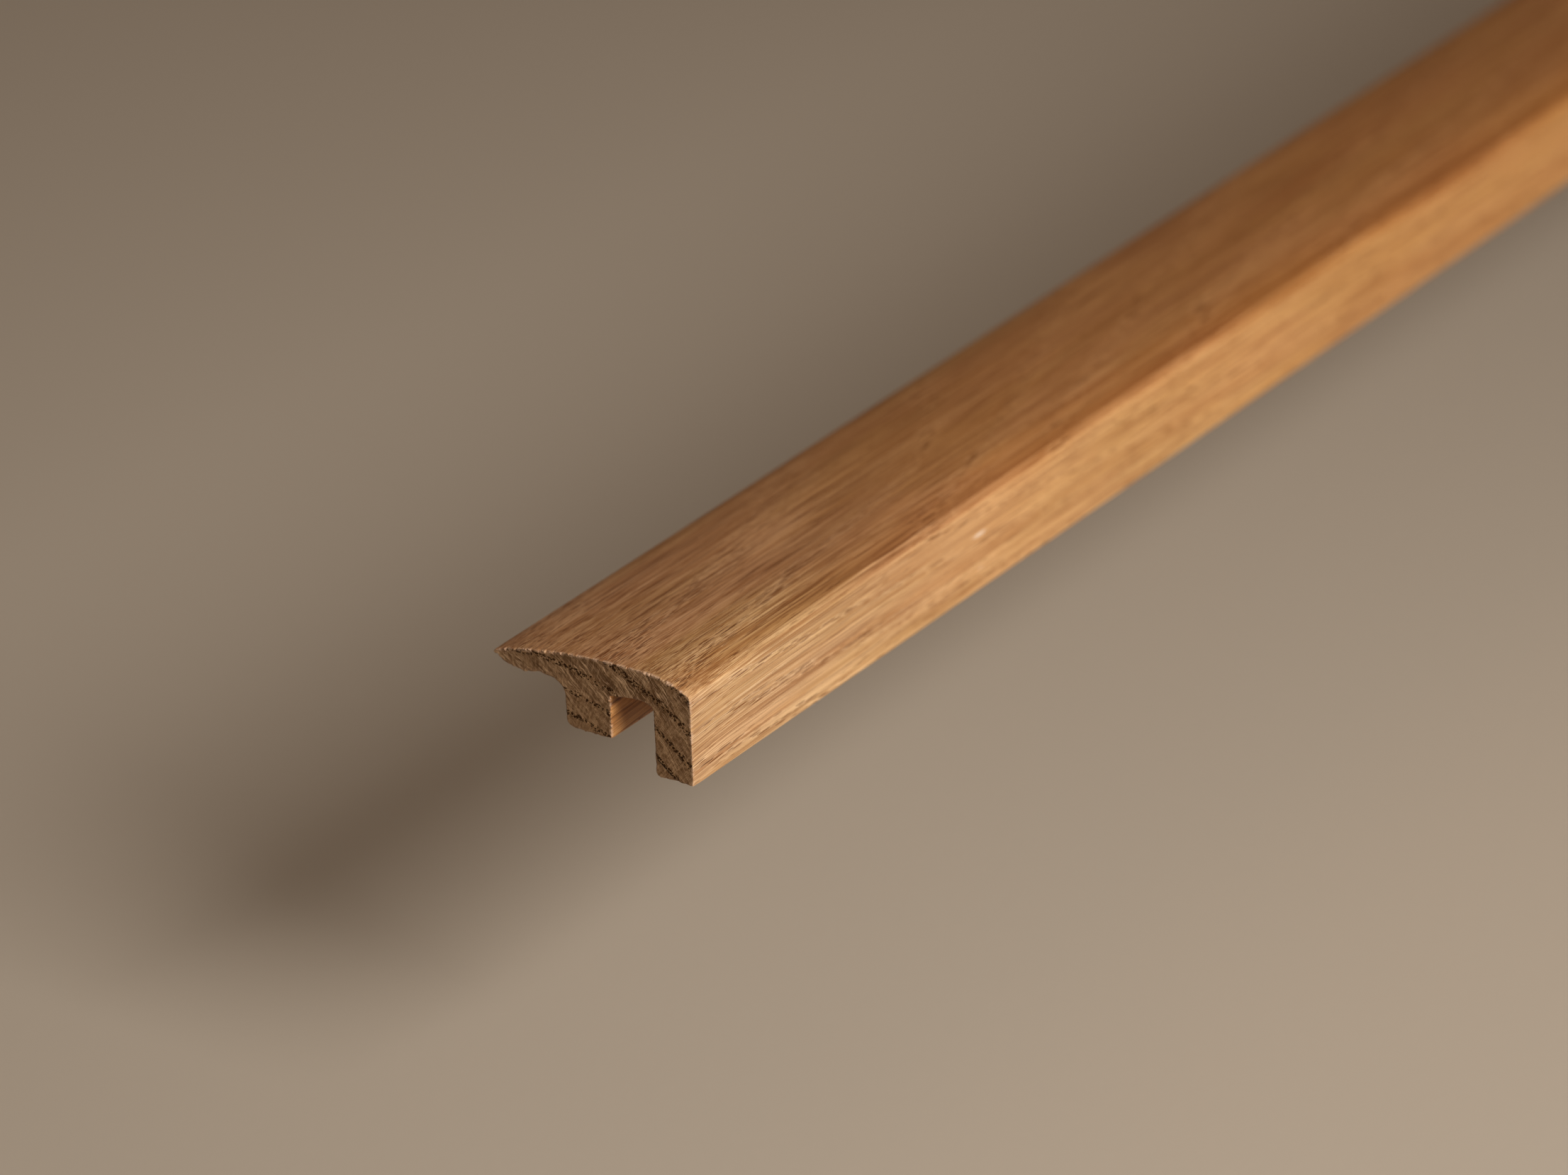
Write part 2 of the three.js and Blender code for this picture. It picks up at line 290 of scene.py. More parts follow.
    blotch = g.noise(g.vec(g.mul(u, 0.50), g.mul(y, 0.013), g.mul(v, 0.50)), 1.0, 3.0, 0.62)
    hue = g.noise(g.vec(g.mul(x, 0.09), g.mul(y, 0.016), g.mul(z, 0.09)), 1.0, 2.0, 0.5)

    # the place across the board, with the slight wander of the line along the arris
    edge_wave = g.noise(g.vec(0.0, g.mul(y, 0.021), 2.0), 1.0, 2.5, 0.6)
    ax = g.plus(x, g.mul(g.sub(edge_wave, 0.5), g.step(s, 4.0, 40.0, 0.3, 1.1)))
    pale = g.step(ax, 12.10, 12.30)

    # long-face colour
    body = g.mix(g.step(streak, 0.36, 0.64), (0.665, 0.430, 0.232), (0.530, 0.300, 0.134))
    body = g.mix(g.mul(g.step(blotch, 0.50, 0.70), 0.60), body, (0.430, 0.205, 0.078))
    body = g.mix(g.mul(g.step(hue, 0.42, 0.64), 0.28), body, (0.580, 0.315, 0.180))
    body = g.mix(g.mul(g.step(hue, 0.54, 0.34), 0.30), body, (0.530, 0.335, 0.125))
    body = g.mix(g.mul(late, 0.26), body, (0.410, 0.215, 0.088))
    body = g.mix(g.mul(g.step(strand, 0.51, 0.60), 0.24), body, (0.350, 0.160, 0.058))
    body = g.mix(g.mul(g.step(strand, 0.46, 0.37), 0.24), body, (0.860, 0.600, 0.350))
    body = g.mix(g.mul(g.step(thread, 0.505, 0.595), g.lin(busy, 0.35, 1.0, 0.55, 1.0), 0.60), body, (0.330, 0.150, 0.054))
    body = g.mix(g.mul(g.step(thread, 0.47, 0.35), 0.52), body, (0.780, 0.520, 0.290))
    body = g.mix(g.mul(g.step(hair, 0.505, 0.600), busy, 0.80), body, (0.270, 0.115, 0.040))
    body = g.mix(g.mul(g.step(hair, 0.46, 0.34), busy, 0.55), body, (0.820, 0.580, 0.350))
    body = g.mix(g.mul(furrow, g.blend(pale, 0.94, 0.50)), body, (0.215, 0.088, 0.030))
    body = g.mix(g.mul(line, 0.62), body, (0.240, 0.098, 0.032))
    body = g.mix(g.mul(ray, 0.60), body, (0.240, 0.098, 0.032))
    body = g.mix(g.mul(small, 0.70), body, (0.230, 0.092, 0.030))
    body = g.mix(g.mul(fleck, 0.42), body, (0.400, 0.185, 0.066))
    # painted highlight beside the open vessels
    body = g.mix(g.mul(dash_glint, 0.34), body, (0.860, 0.610, 0.380))
    faded = g.step(s, 25.0, 90.0)
    body = g.mix(g.mul(dash, g.blend(faded, 0.85, 0.50)), body, g.mix(faded, (0.170, 0.062, 0.020), (0.360, 0.160, 0.054)))
    body = g.mix(g.mul(big, 0.85), body, (0.170, 0.062, 0.019))
    shade = g.lin(tone, 0.25, 0.75, 0.94, 1.12)
    body = g.mix(1.0, body, shade, "MULTIPLY")
    # painted shade: the crown, found by its upward normal, is made a shade browner and warmer than the outer face to
    # stand for the warmer, weaker light from above; and the board turns more golden along its length
    crown = g.step(nz, 0.35, 0.80)
    body = g.mix(crown, body, g.mix(1.0, body, (0.98, 0.88, 0.84), "MULTIPLY"))
    near = g.mul(crown, g.step(s, 75.0, 30.0), g.step(x, -1.0, 3.0))
    body = g.mix(near, body, g.mix(1.0, body, (1.05, 1.12, 1.10), "MULTIPLY", False), "MIX", False)
    # a browner band runs just inside the arris, and the outer face is pale
    brown = g.mul(g.step(ax, 8.6, 10.4), g.step(ax, 12.10, 12.30, 1.0, 0.0), g.m("GREATER_THAN", z, 17.0))
    body = g.mix(brown, body, g.mix(1.0, body, (0.86, 0.80, 0.71), "MULTIPLY"))
    deep = g.mul(g.step(ax, 7.0, 10.0), g.step(ax, 12.10, 12.24, 1.0, 0.0), g.m("GREATER_THAN", z, 17.0), g.step(s, 6.0, 50.0, 0.15, 1.0))
    body = g.mix(deep, body, g.mix(1.0, body, (0.82, 0.78, 0.74), "MULTIPLY"))
    body = g.mix(pale, body, g.mix(1.0, body, (1.09, 1.12, 1.14), "MULTIPLY", False), "MIX", False)
    cream = g.mul(g.m("GREATER_THAN", x, 14.0), g.step(z, 6.0, 11.0), g.step(s, 60.0, 14.0))
    body = g.mix(cream, body, g.mix(1.0, body, (1.06, 1.10, 1.17), "MULTIPLY", False), "MIX", False)
    # two small pale scuffs on the outer face
    scuff = None
    for c_s, c_z, c_k, c_r in ((103.0, 12.6, 0.27, 0.95), (103.5, 4.8, 0.22, 0.55)):
        sx0, sz0 = g.mul(g.plus(s, -c_s), c_k), g.plus(z, -c_z)
        away = g.m("SQRT", g.plus(g.mul(sx0, sx0), g.mul(sz0, sz0, 1.6)))
        away = g.step(g.plus(away, g.mul(g.sub(feather, 0.5), 1.2)), 0.15 * c_r, c_r, c_r, 0.0)
        scuff = away if scuff is None else g.m("MAXIMUM", scuff, away)
    scuff = g.mul(scuff, g.m("GREATER_THAN", x, 14.0))
    body = g.mix(g.mul(scuff, 0.92), body, (0.930, 0.830, 0.790))
    # painted bounce light and shade: the groove's inner wall is made darker and redder, as light reflected inside the
    # groove colours it; a dark streak runs along it near the end
    inner = g.mul(g.step(x, -5.6, -5.4), g.step(x, -5.0, -4.8, 1.0, 0.0), g.m("LESS_THAN", z, 15.3))
    body = g.mix(g.mul(inner, 0.75), body, g.mix(1.0, body, (1.02, 0.78, 0.42), "MULTIPLY"))
    streaky = g.mul(inner, g.step(g.m("ABSOLUTE", g.sub(g.plus(z, g.mul(blotch, 3.0)), 14.9)), 0.2, 0.8, 1.0, 0.0), g.step(s, 30.0, 16.0))
    body = g.mix(g.mul(streaky, 0.7), body, (0.120, 0.045, 0.016))
    gold = g.step(s, 20.0, 140.0)
    body = g.mix(gold, body, g.mix(1.0, body, (0.95, 0.845, 0.665), "MULTIPLY"))
    far_gold = g.mul(g.step(s, 120.0, 330.0), g.blend(pale, 0.55, 1.0))
    body = g.mix(far_gold, body, g.mix(1.0, body, (0.96, 0.88, 0.76), "MULTIPLY"))

    # end grain: cut across, bare, darker, with saw arcs
    sx = g.plus(x, 105.0)
    sz = g.plus(z, 84.0)
    saw_r = g.m("SQRT", g.plus(g.mul(sx, sx), g.mul(sz, sz)))
    saw_a = g.mul(g.m("ARCTAN2", sz, sx), 150.0)
    sway = g.noise(g.vec(g.mul(x, 0.22), 0.0, g.mul(z, 0.22)), 1.0, 2.0, 0.5)
    saw_q = g.plus(saw_r, g.mul(sway, 2.2))
    upper = g.step(z, 9.0, 17.0, 0.35, 1.0)
    saw_band = g.noise(g.vec(g.mul(saw_q, 0.50), g.mul(saw_a, 0.13), 3.3), 1.0, 2.0, 0.55)
    saw_line = g.noise(g.vec(g.mul(saw_q, 3.1), g.mul(saw_a, 0.16), 8.1), 1.0, 2.0, 0.55)
    mottle = g.noise(g.vec(g.mul(x, 1.05), 0.0, g.mul(z, 1.05)), 1.0, 4.0, 0.66)
    grit = g.noise(g.vec(g.mul(x, 5.0), 0.0, g.mul(z, 5.0)), 1.0, 3.0, 0.66)
    end = g.mix(g.step(mottle, 0.42, 0.58), (0.460, 0.335, 0.215), (0.250, 0.160, 0.088))
    end = g.mix(g.mul(g.step(saw_band, 0.47, 0.58), upper, 0.85), end, (0.150, 0.088, 0.044))
    end = g.mix(g.mul(g.step(saw_band, 0.46, 0.36), upper, 0.50), end, (0.520, 0.400, 0.270))
    end = g.mix(g.mul(late, 0.15), end, (0.200, 0.124, 0.064))
    end = g.mix(g.mul(early, 0.30), end, (0.380, 0.245, 0.125))
    end = g.mix(g.mul(g.step(grit, 0.47, 0.66), 0.55), end, (0.140, 0.084, 0.045))
    end = g.mix(g.mul(g.step(grit, 0.45, 0.30), 0.40), end, (0.560, 0.435, 0.300))
    end = g.mix(g.mul(g.step(fine_ray, 0.52, 0.62), 0.50), end, (0.500, 0.375, 0.245))
    end = g.mix(g.mul(g.step(fine_ray, 0.46, 0.37), 0.50), end, (0.200, 0.122, 0.064))
    end = g.mix(g.mul(ray, 0.40), end, (0.520, 0.400, 0.280))
    end = g.mix(g.mul(g.step(saw_line, 0.62, 0.72), upper, 0.60), end, (0.640, 0.500, 0.360))
    # torn strokes left by the teeth, painted as pale ridges with dark valleys beside them: painted highlight and
    # painted shade where the light rakes the relief
    stroke = g.noise(g.vec(g.mul(saw_q, 4.4), g.mul(saw_a, 0.30), 21.7), 1.0, 2.0, 0.6)
    torn = g.noise(g.vec(g.mul(x, 0.30), 4.0, g.mul(z, 0.30)), 1.0, 1.5, 0.5)
    torn = g.mul(g.step(torn, 0.44, 0.58, 0.30, 1.0), upper)
    end = g.mix(g.mul(g.step(stroke, 0.53, 0.63), torn, 0.85), end, (0.740, 0.590, 0.430))
    end = g.mix(g.mul(g.step(stroke, 0.47, 0.37), torn, 0.75), end, (0.095, 0.053, 0.027))
    # each vessel is a dark hole with a paler wall
    rim = g.mul(g.step(vd, size, g.plus(size, 0.14), 1.0, 0.0), g.step(cr, 0.20, 0.24), g.step(early, 0.25, 0.6))
    end = g.mix(g.mul(rim, 0.45), end, (0.560, 0.400, 0.235))
    end = g.mix(g.mul(small, g.step(early, 0.1, 0.7, 0.35, 0.85)), end, (0.090, 0.046, 0.019))
    end = g.mix(g.mul(g.m("POWER", big, 0.6), 0.95), end, (0.035, 0.015, 0.006))
    # torn pockets
    pocket = None
    for px, pz, pr in ((3.1, 18.3, 0.55), (2.5, 18.6, 0.35), (13.7, 18.75, 0.50), (9.75, 0.9, 0.55), (-6.1, 11.8, 0.40), (12.6, 20.2, 0.30), (6.9, 21.8, 0.26)):
        ox, oz = g.sub(x, px), g.sub(z, pz)
        away = g.m("SQRT", g.plus(g.mul(ox, ox), g.mul(oz, oz, 2.2)))
        away = g.plus(away, g.mul(g.sub(grit, 0.5), 0.9))
        hit = g.step(away, pr * 0.35, pr, 1.0, 0.0)
        pocket = hit if pocket is None else g.m("MAXIMUM", pocket, hit)
    pocket = g.mul(pocket, g.m("LESS_THAN", y, 0.0))
    end = g.mix(g.mul(pocket, 0.92), end, (0.030, 0.013, 0.005))
    end = g.mix(1.0, end, (1.04, 0.90, 0.77), "MULTIPLY", False)
    # a drying check along a ring near the foot of the outer leg
    check = g.m("ABSOLUTE", g.plus(g.sub(radius, 51.1), g.mul(g.sub(grit, 0.5), 0.5)))
    check = g.mul(g.step(check, 0.05, 0.16, 1.0, 0.0), g.step(x, 5.4, 6.0), g.step(x, 9.4, 8.9), g.m("LESS_THAN", y, 0.0))
    end = g.mix(g.mul(check, 0.92), end, (0.016, 0.008, 0.004))

    # torn pale fibres on the arris of the cut
    fz = g.add("ShaderNodeAttribute", attribute_name="arris").outputs["Fac"]
    fuzz_n = g.noise(g.scale(P, (4.0, 4.0, 4.0)), 1.0, 3.0, 0.65)
    colour = g.mix(end_mask, body, end)
    colour = g.mix(g.mul(fz, g.step(fuzz_n, 0.34, 0.56), 0.95), colour, (0.740, 0.520, 0.370))

    # finish: satin lacquer on the machined faces, bare on the cut
    holes = g.m("MAXIMUM", g.m("MAXIMUM", big, dash), g.mul(small, 0.7))
    rough_face = g.plus(0.38, g.mul(thread, 0.14), g.mul(big, 0.25), g.mul(small, 0.15))
    rough = g.blend(end_mask, rough_face, 0.92)
    rough = g.blend(fz, rough, 0.85)
    coat = g.mul(g.sub(1.0, g.m("MAXIMUM", end_mask, fz)), g.sub(1.0, holes), 0.12)
    spec = g.mul(g.blend(end_mask, 0.42, 0.16), g.sub(1.0, g.mul(holes, 0.85)))
    h_face = g.plus(g.mul(thread, 0.50), g.mul(hair, 0.45), g.mul(big, -1.1), g.mul(small, -0.7), g.mul(furrow, -0.6), g.mul(dash, -1.6))
    h_end = g.plus(g.mul(saw_band, 1.4), g.mul(saw_line, 1.2), g.mul(stroke, 1.3), g.mul(grit, 1.4), g.mul(fine_ray, 0.9), g.mul(big, -2.2), g.mul(check, -3.0))
    height = g.blend(end_mask, g.mul(h_face, 0.00005), g.mul(h_end, 0.00012))
    normal = g.bump(height, 1.0, 1.0)
    g.principled(
        Base_Color=colour, Roughness=rough, Normal=normal, Coat_Weight=coat, Coat_Roughness=0.34, Specular_IOR_Level=spec,
    )
    return g.mat


# ------------------------------------------------------------------ moulding outline (mm, x from the outer face)
def catmull(points, n):
    """Uniform Catmull-Rom through the points, ends repeated."""
    p = np.array(points, float)
    q = np.vstack([p[0], p, p[-1]])
    out = []
    segs = len(p) - 1
    for i in range(segs):
        a, b, c, d = q[i], q[i + 1], q[i + 2], q[i + 3]
        for t in np.linspace(0, 1, n, endpoint=False):
            v0, v1 = (c - a) * 0.5, (d - b) * 0.5
            out.append((2 * b - 2 * c + v0 + v1) * t**3 + (-3 * b + 3 * c - 2 * v0 - v1) * t**2 + v0 * t + b)
    out.append(p[-1])
    return [tuple(v) for v in out]


def arc(cx, cz, r, a0, a1, n=14):
    return [(cx + r * math.cos(math.radians(a)), cz + r * math.sin(math.radians(a))) for a in np.linspace(a0, a1, n)]


OUTER = 14.2
LEG, MR, ML = -9.0, -19.4, -30.5


def moulding_outline():
    pts = []
    pts += arc(-0.35, 0.35, 0.35, -90, 0)
    pts += catmull([(0, 18.35), (-0.06, 18.85), (-0.28, 19.34), (-0.66, 19.76), (-1.2, 20.08)], 8)
    pts += catmull(
        [
            (-2.25, 20.6), (-3.7, 21.2), (-5.3, 21.72), (-7.2, 22.15), (-9.3, 22.39), (-11.7, 22.48), (-14.3, 22.5),
            (-16.9, 22.48), (-21.2, 22.37), (-24.6, 22.18), (-27.5, 21.95), (-30.4, 21.66), (-33.2, 21.3), (-36.0, 20.88),
            (-38.8, 20.38), (-41.4, 19.86), (-43.8, 19.3), (-45.8, 18.76), (-47.2, 18.28),
        ],
        10,
    )
    pts += catmull([(-47.76, 18.02), (-48.0, 17.68), (-47.76, 17.32), (-47.4, 16.96)], 8)
    pts += catmull([(-46.7, 16.38), (-45.9, 15.88), (-44.9, 15.4), (-43.9, 15.06)], 8)
    pts += [(-43.1, 14.9), (-40.2, 14.9)]
    pts += catmull(
        [(-38.9, 15.08), (-37.4, 15.36), (-35.9, 15.6), (-34.6, 15.64), (-33.2, 15.36), (-32.0, 14.9), (-31.2, 14.3), (-30.75, 13.5), (-30.55, 12.6)],
        8,
    )
    pts += [(ML, 11.6)]
    pts += arc(ML + 1.6, 5.5 + 1.6, 1.6, 180, 270, 20)
    pts += arc(MR - 0.35, 5.5 + 0.35, 0.35, 270, 360)
    pts += [(MR, 14.98)]
    pts += catmull(
        [(MR + 0.15, 15.06), (-18.2, 15.22), (-16.8, 15.46), (-15.2, 15.7), (-13.6, 15.86), (-12.2, 15.88), (-11.0, 15.74), (-10.0, 15.38), (-9.3, 14.9)],
        8,
    )
    pts += [(LEG, 14.3)]
    pts += arc(LEG + 1.3, 1.3, 1.3, 180, 270, 18)
    return np.array(pts)


def resample(pts, n):
    loop = np.vstack([pts, pts[:1]])
    seg = np.hypot(*(loop[1:] - loop[:-1]).T)
    keep = np.r_[True, seg > 1e-6]
    loop = loop[keep]
    d = np.r_[0, np.cumsum(np.hypot(*(loop[1:] - loop[:-1]).T))]
    t = np.linspace(0, d[-1], n, endpoint=False)
    return np.c_[np.interp(t, d, loop[:, 0]), np.interp(t, d, loop[:, 1])], d[-1]


def outward(loop):
    """Unit outward normals of an anticlockwise closed loop, slightly smoothed."""
    t = np.roll(loop, -2, 0) - np.roll(loop, 2, 0)
    n = np.c_[t[:, 1], -t[:, 0]]
    return n / np.linalg.norm(n, axis=1)[:, None]


def inside(loop, pts, margin):
    """Which points lie inside the loop by at least margin."""
    x, y = pts[:, 0], pts[:, 1]
    hit = np.zeros(len(pts), bool)
    a, b = loop, np.roll(loop, -1, 0)
    for (x0, y0), (x1, y1) in zip(a, b):
        if y0 == y1:
            continue
        c = ((y0 > y) != (y1 > y)) & (x < (x1 - x0) * (y - y0) / (y1 - y0) + x0)
        hit ^= c
    near = np.full(len(pts), 1e9)
    for i in range(0, len(loop), 2):
        near = np.minimum(near, (x - loop[i, 0]) ** 2 + (y - loop[i, 1]) ** 2)
    return hit & (near > margin * margin)


def value_noise(p, seed):
    """Smooth 2-D value noise in 0..1, unit lattice."""
    i = np.floor(p).astype(np.int64)
    f = p - i
    f = f * f * (3 - 2 * f)

    def h(a, b):
        k = (a * 374761393 + b * 668265263 + seed * 974634777) & 0xFFFFFFFF
        k = ((k ^ (k >> 13)) * 1274126177) & 0xFFFFFFFF
        return ((k ^ (k >> 16)) & 0xFFFF) / 65535.0

    a, b = i[:, 0], i[:, 1]
    v00, v10, v01, v11 = h(a, b), h(a + 1, b), h(a, b + 1), h(a + 1, b + 1)
    return (v00 * (1 - f[:, 0]) + v10 * f[:, 0]) * (1 - f[:, 1]) + (v01 * (1 - f[:, 0]) + v11 * f[:, 0]) * f[:, 1]


def crossings(p):
    """Indices of the segments of a closed loop that cross another one."""
    a, b = p, np.roll(p, -1, 0)
    n = len(p)

    def side(o, q, r):
        return (q[..., 0] - o[..., 0]) * (r[..., 1] - o[..., 1]) - (q[..., 1] - o[..., 1]) * (r[..., 0] - o[..., 0])

    A, B, C, D = a[:, None], b[:, None], a[None], b[None]
    hit = (side(A, B, C) * side(A, B, D) < 0) & (side(C, D, A) * side(C, D, B) < 0)
    i = np.arange(n)
    gap = np.abs(i[:, None] - i[None])
    hit &= (gap > 1) & (gap < n - 1)
    return np.nonzero(hit.any(1))[0]


def settle(loop, nrm, offset, spread):
    """Eases an offset wherever it would fold the loop over itself."""
    off = np.array(np.broadcast_to(offset, (len(loop),)), float)
    d0 = np.roll(loop, -1, 0) - loop
    for _ in range(60):
        p = loop + nrm * off[:, None]
        p = np.c_[np.clip(p[:, 0], -48.0, 0.0), np.clip(p[:, 1], 0.0, 22.5)]
        d1 = np.roll(p, -1, 0) - p
        bad = (d0 * d1).sum(1) < 0.12 * (d0 * d0).sum(1)
        bad[crossings(p)] = True
        if not bad.any():
            break
        off = np.where(spread(bad * 1.0) > 0.02, off * 0.88, off)
    return off


N_LOOP = 1200


def build_moulding():
    rng = np.random.default_rng(7)
    loop, perimeter = resample(moulding_outline(), N_LOOP)
    nrm = outward(loop)
    t = np.arange(N_LOOP) * perimeter / N_LOOP

    def band(v, width):
        k = np.exp(-0.5 * (np.arange(-3 * int(width), 3 * int(width) + 1) / width) ** 2)
        m = len(k) // 2
        return np.convolve(np.r_[v[-m:], v, v[:m]], k / k.sum(), "valid")

    def line_noise(scale, seed):
        return value_noise(np.c_[t * scale, np.full(N_LOOP, seed * 1.37 + 0.5)], seed)

    top_edge = band(((nrm[:, 1] > 0.22) & (loop[:, 0] > -47.4)) * 1.0, 3)
    outer_edge = band((nrm[:, 0] > 0.8) * 1.0, 3)
    lip_edge = band(((loop[:, 0] < -36.0) & (nrm[:, 1] < 0.4)) * 1.0, 4)
    foot_edge = band((loop[:, 1] < 0.9) * 1.0 + ((loop[:, 1] < 6.3) & (loop[:, 0] < -19.0)) * 0.5, 3)

    def fringe(seed):
        """Along the cut arris: chips inwards, torn fibres outwards, and bigger breaks under the lip and at the feet."""
        r = np.random.default_rng(seed)
        n1, n2, n3 = line_noise(1.1, seed), line_noise(4.3, seed + 1), line_noise(0.45, seed + 2)
        soft = 1.0 + 1.2 * lip_edge + 0.9 * foot_edge
        chip = band((np.clip(n1 - 0.50, 0, 1) * 0.55 + n2 * 0.12 + np.clip(n3 - 0.6, 0, 1) * 0.5) * soft, 2)
        notch = np.clip(line_noise(2.0, seed + 3) - 0.46, 0, 1) * 1.5 * (0.15 + top_edge + 0.35 * outer_edge)
        notch = notch * np.clip(line_noise(0.30, seed + 4) * 2.4 - 0.5, 0.1, 1.0)
        big = np.clip(line_noise(0.75, seed + 5) - 0.34, 0, 1) * (1.25 * lip_edge + 0.55 * foot_edge)
        big = band(big + np.clip(line_noise(2.6, seed + 6) - 0.5, 0, 1) * 0.5 * lip_edge, 1.5)
        spike = np.zeros(N_LOOP)
        at = r.choice(N_LOOP, 480, replace=False)
        spike[at] = r.uniform(0.04, 0.30, len(at))
        spike = spike * np.clip(top_edge + outer_edge, 0.2, 1.0)
        # where the torn fibres show pale
        pale = np.clip(top_edge + 0.7 * outer_edge, 0.22, 1.0)
        pale = pale * np.clip((line_noise(1.7, seed + 7) - 0.22) * 2.6, 0.12, 1.0)
        return chip, notch, big, spike, pale

    # y stations from the near end, mm
    near = [0.80, 1.25, 1.8, 2.6, 4.0, 8.0, 15.0, 25.0, 40.0, 60.0, 85.0, 115.0, 150.0]
    mids = list(np.linspace(190.0, 710.0, 15))

    verts, arris, rings = [], [], []

    def ring(y, offset, fuzz):
        start = len(verts)
        p = loop + nrm * np.asarray(offset).reshape(-1, 1)
        p = np.c_[np.clip(p[:, 0], -48.0, 0.0), np.clip(p[:, 1], 0.0, 22.5)]
        yy = np.broadcast_to(y, (N_LOOP,))
        ff = np.broadcast_to(fuzz, (N_LOOP,))
        for (px, pz), py, pf in zip(p, yy, ff):
            verts.append(((px + OUTER) * MM, (py - 450.0) * MM, pz * MM))
            arris.append(pf)
        rings.append(start)
        return p

    def end_rings(seed):
        """(y from the cut, offset, fuzz) of the rings from the cut face inwards."""
        chip, notch, big, spike, pale = fringe(seed)
        rows = [
            (0.0 * t, -0.26 - chip * 0.8 - notch * 0.25 - big, 0.45 * pale),
            (0.07 - spike * 0.22 + chip * 0.15 + notch * 0.30, -0.07 - chip * 0.5 - notch * 0.40 - big * 0.95 + spike, pale),
            (0.28 + chip * 0.25 + notch * 0.38, -0.010 - chip * 0.12 - notch * 0.16 - big * 0.85 + spike * 0.2, 0.75 * pale),
        ]
        for a in near:
            rows.append((a + 0.0 * t, -big * max(1.0 - a / 3.2, 0.0) ** 1.3, 0.0))
        return rows

    def settled(rows):
        y, offset, fuzz = rows[0]
        return [(y, settle(loop, nrm, offset, lambda v: band(v, 3)), fuzz)] + rows[1:]

    near_rows = settled(end_rings(11))
    cap_near = ring(*near_rows[0])
    for row in near_rows[1:]:
        ring(*row)
    for a in mids:
        ring(a, 0.0, 0.0)
    far_rows = settled(end_rings(23))
    for y, offset, fuzz in reversed(far_rows[1:]):
        ring(900.0 - y, offset, fuzz)
    y, offset, fuzz = far_rows[0]
    cap_far = ring(900.0 - y, offset, fuzz)

    faces = []
    for a, b in zip(rings[:-1], rings[1:]):
        for i in range(N_LOOP):
            j = (i + 1) % N_LOOP
            faces.append((a + i, a + j, b + j, b + i))

    def cap(edge, start, y, flip, seed):
        """Cut face: boundary from the ring, an inner lattice with the relief of the saw."""
        grid = 0.27
        gx = np.arange(edge[:, 0].min(), edge[:, 0].max(), grid)
        gz = np.arange(edge[:, 1].min(), edge[:, 1].max(), grid)
        X, Z = np.meshgrid(gx, gz)
        r = np.random.default_rng(seed)
        pts = np.c_[X.ravel(), Z.ravel()] + r.uniform(-0.08, 0.08, (X.size, 2))
        pts = pts[inside(edge, pts, 0.16)]
        allp = [Vector(p) for p in edge] + [Vector(p) for p in pts]
        n = len(edge)
        edges = [(i, (i + 1) % n) for i in range(n)]
        vo, eo, fo, ov, oe, of_ = delaunay_2d_cdt(allp, edges, [], 2, 1e-5)
        index = {}
        q = np.array([(v.x, v.y) for v in vo])
        saw = np.hypot(q[:, 0] + 119.0, q[:, 1] + 84.0)
        along = np.arctan2(q[:, 1] + 84.0, q[:, 0] + 119.0) * 150.0
        h = (value_noise(np.c_[saw * 0.62, along * 0.10], seed) - 0.5) * 0.10
        h += (value_noise(np.c_[saw * 2.1, along * 0.18], seed + 2) - 0.5) * 0.06
        h += (value_noise(q * 1.6, seed + 5) - 0.5) * 0.05
        sign = -1.0 if flip else 1.0
        for k, v in enumerate(vo):
            src = ov[k][0] if ov[k] else -1
            if 0 <= src < n:
                index[k] = start + src
            else:
                index[k] = len(verts)
                verts.append(((v.x + OUTER) * MM, (y - 450.0 + sign * max(0.06 - h[k], 0.0)) * MM, v.y * MM))
                arris.append(0.0)
        for face in fo:
            tri = [index[k] for k in face]
            faces.append(tuple(tri) if not flip else tuple(reversed(tri)))

    # near cap faces -Y, far cap +Y
    cap(cap_near, rings[0], 0.0, False, 5)
    cap(cap_far, rings[-1], 900.0, True, 9)
    mesh = bpy.data.meshes.new("oak_strip")
    mesh.from_pydata(verts, [], faces)
    mesh.update()
    att = mesh.attributes.new("arris", "FLOAT", "POINT")
    att.data.foreach_set("value", np.array(arris, np.float32))
    bm = bmesh.new()
    bm.from_mesh(mesh)
    bmesh.ops.recalc_face_normals(bm, faces=bm.faces)
    bm.to_mesh(mesh)
    bm.free()
    for p in mesh.polygons:
        p.use_smooth = True
    mesh.set_sharp_from_angle(angle=math.radians(42))
    o = bpy.data.objects.new("oak_strip", mesh)
    scene.collection.objects.link(o)
    mesh.materials.append(oak_material())
    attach(o, "moulding")
    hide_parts("oak_moulding")
    return o


moulding = build_moulding()


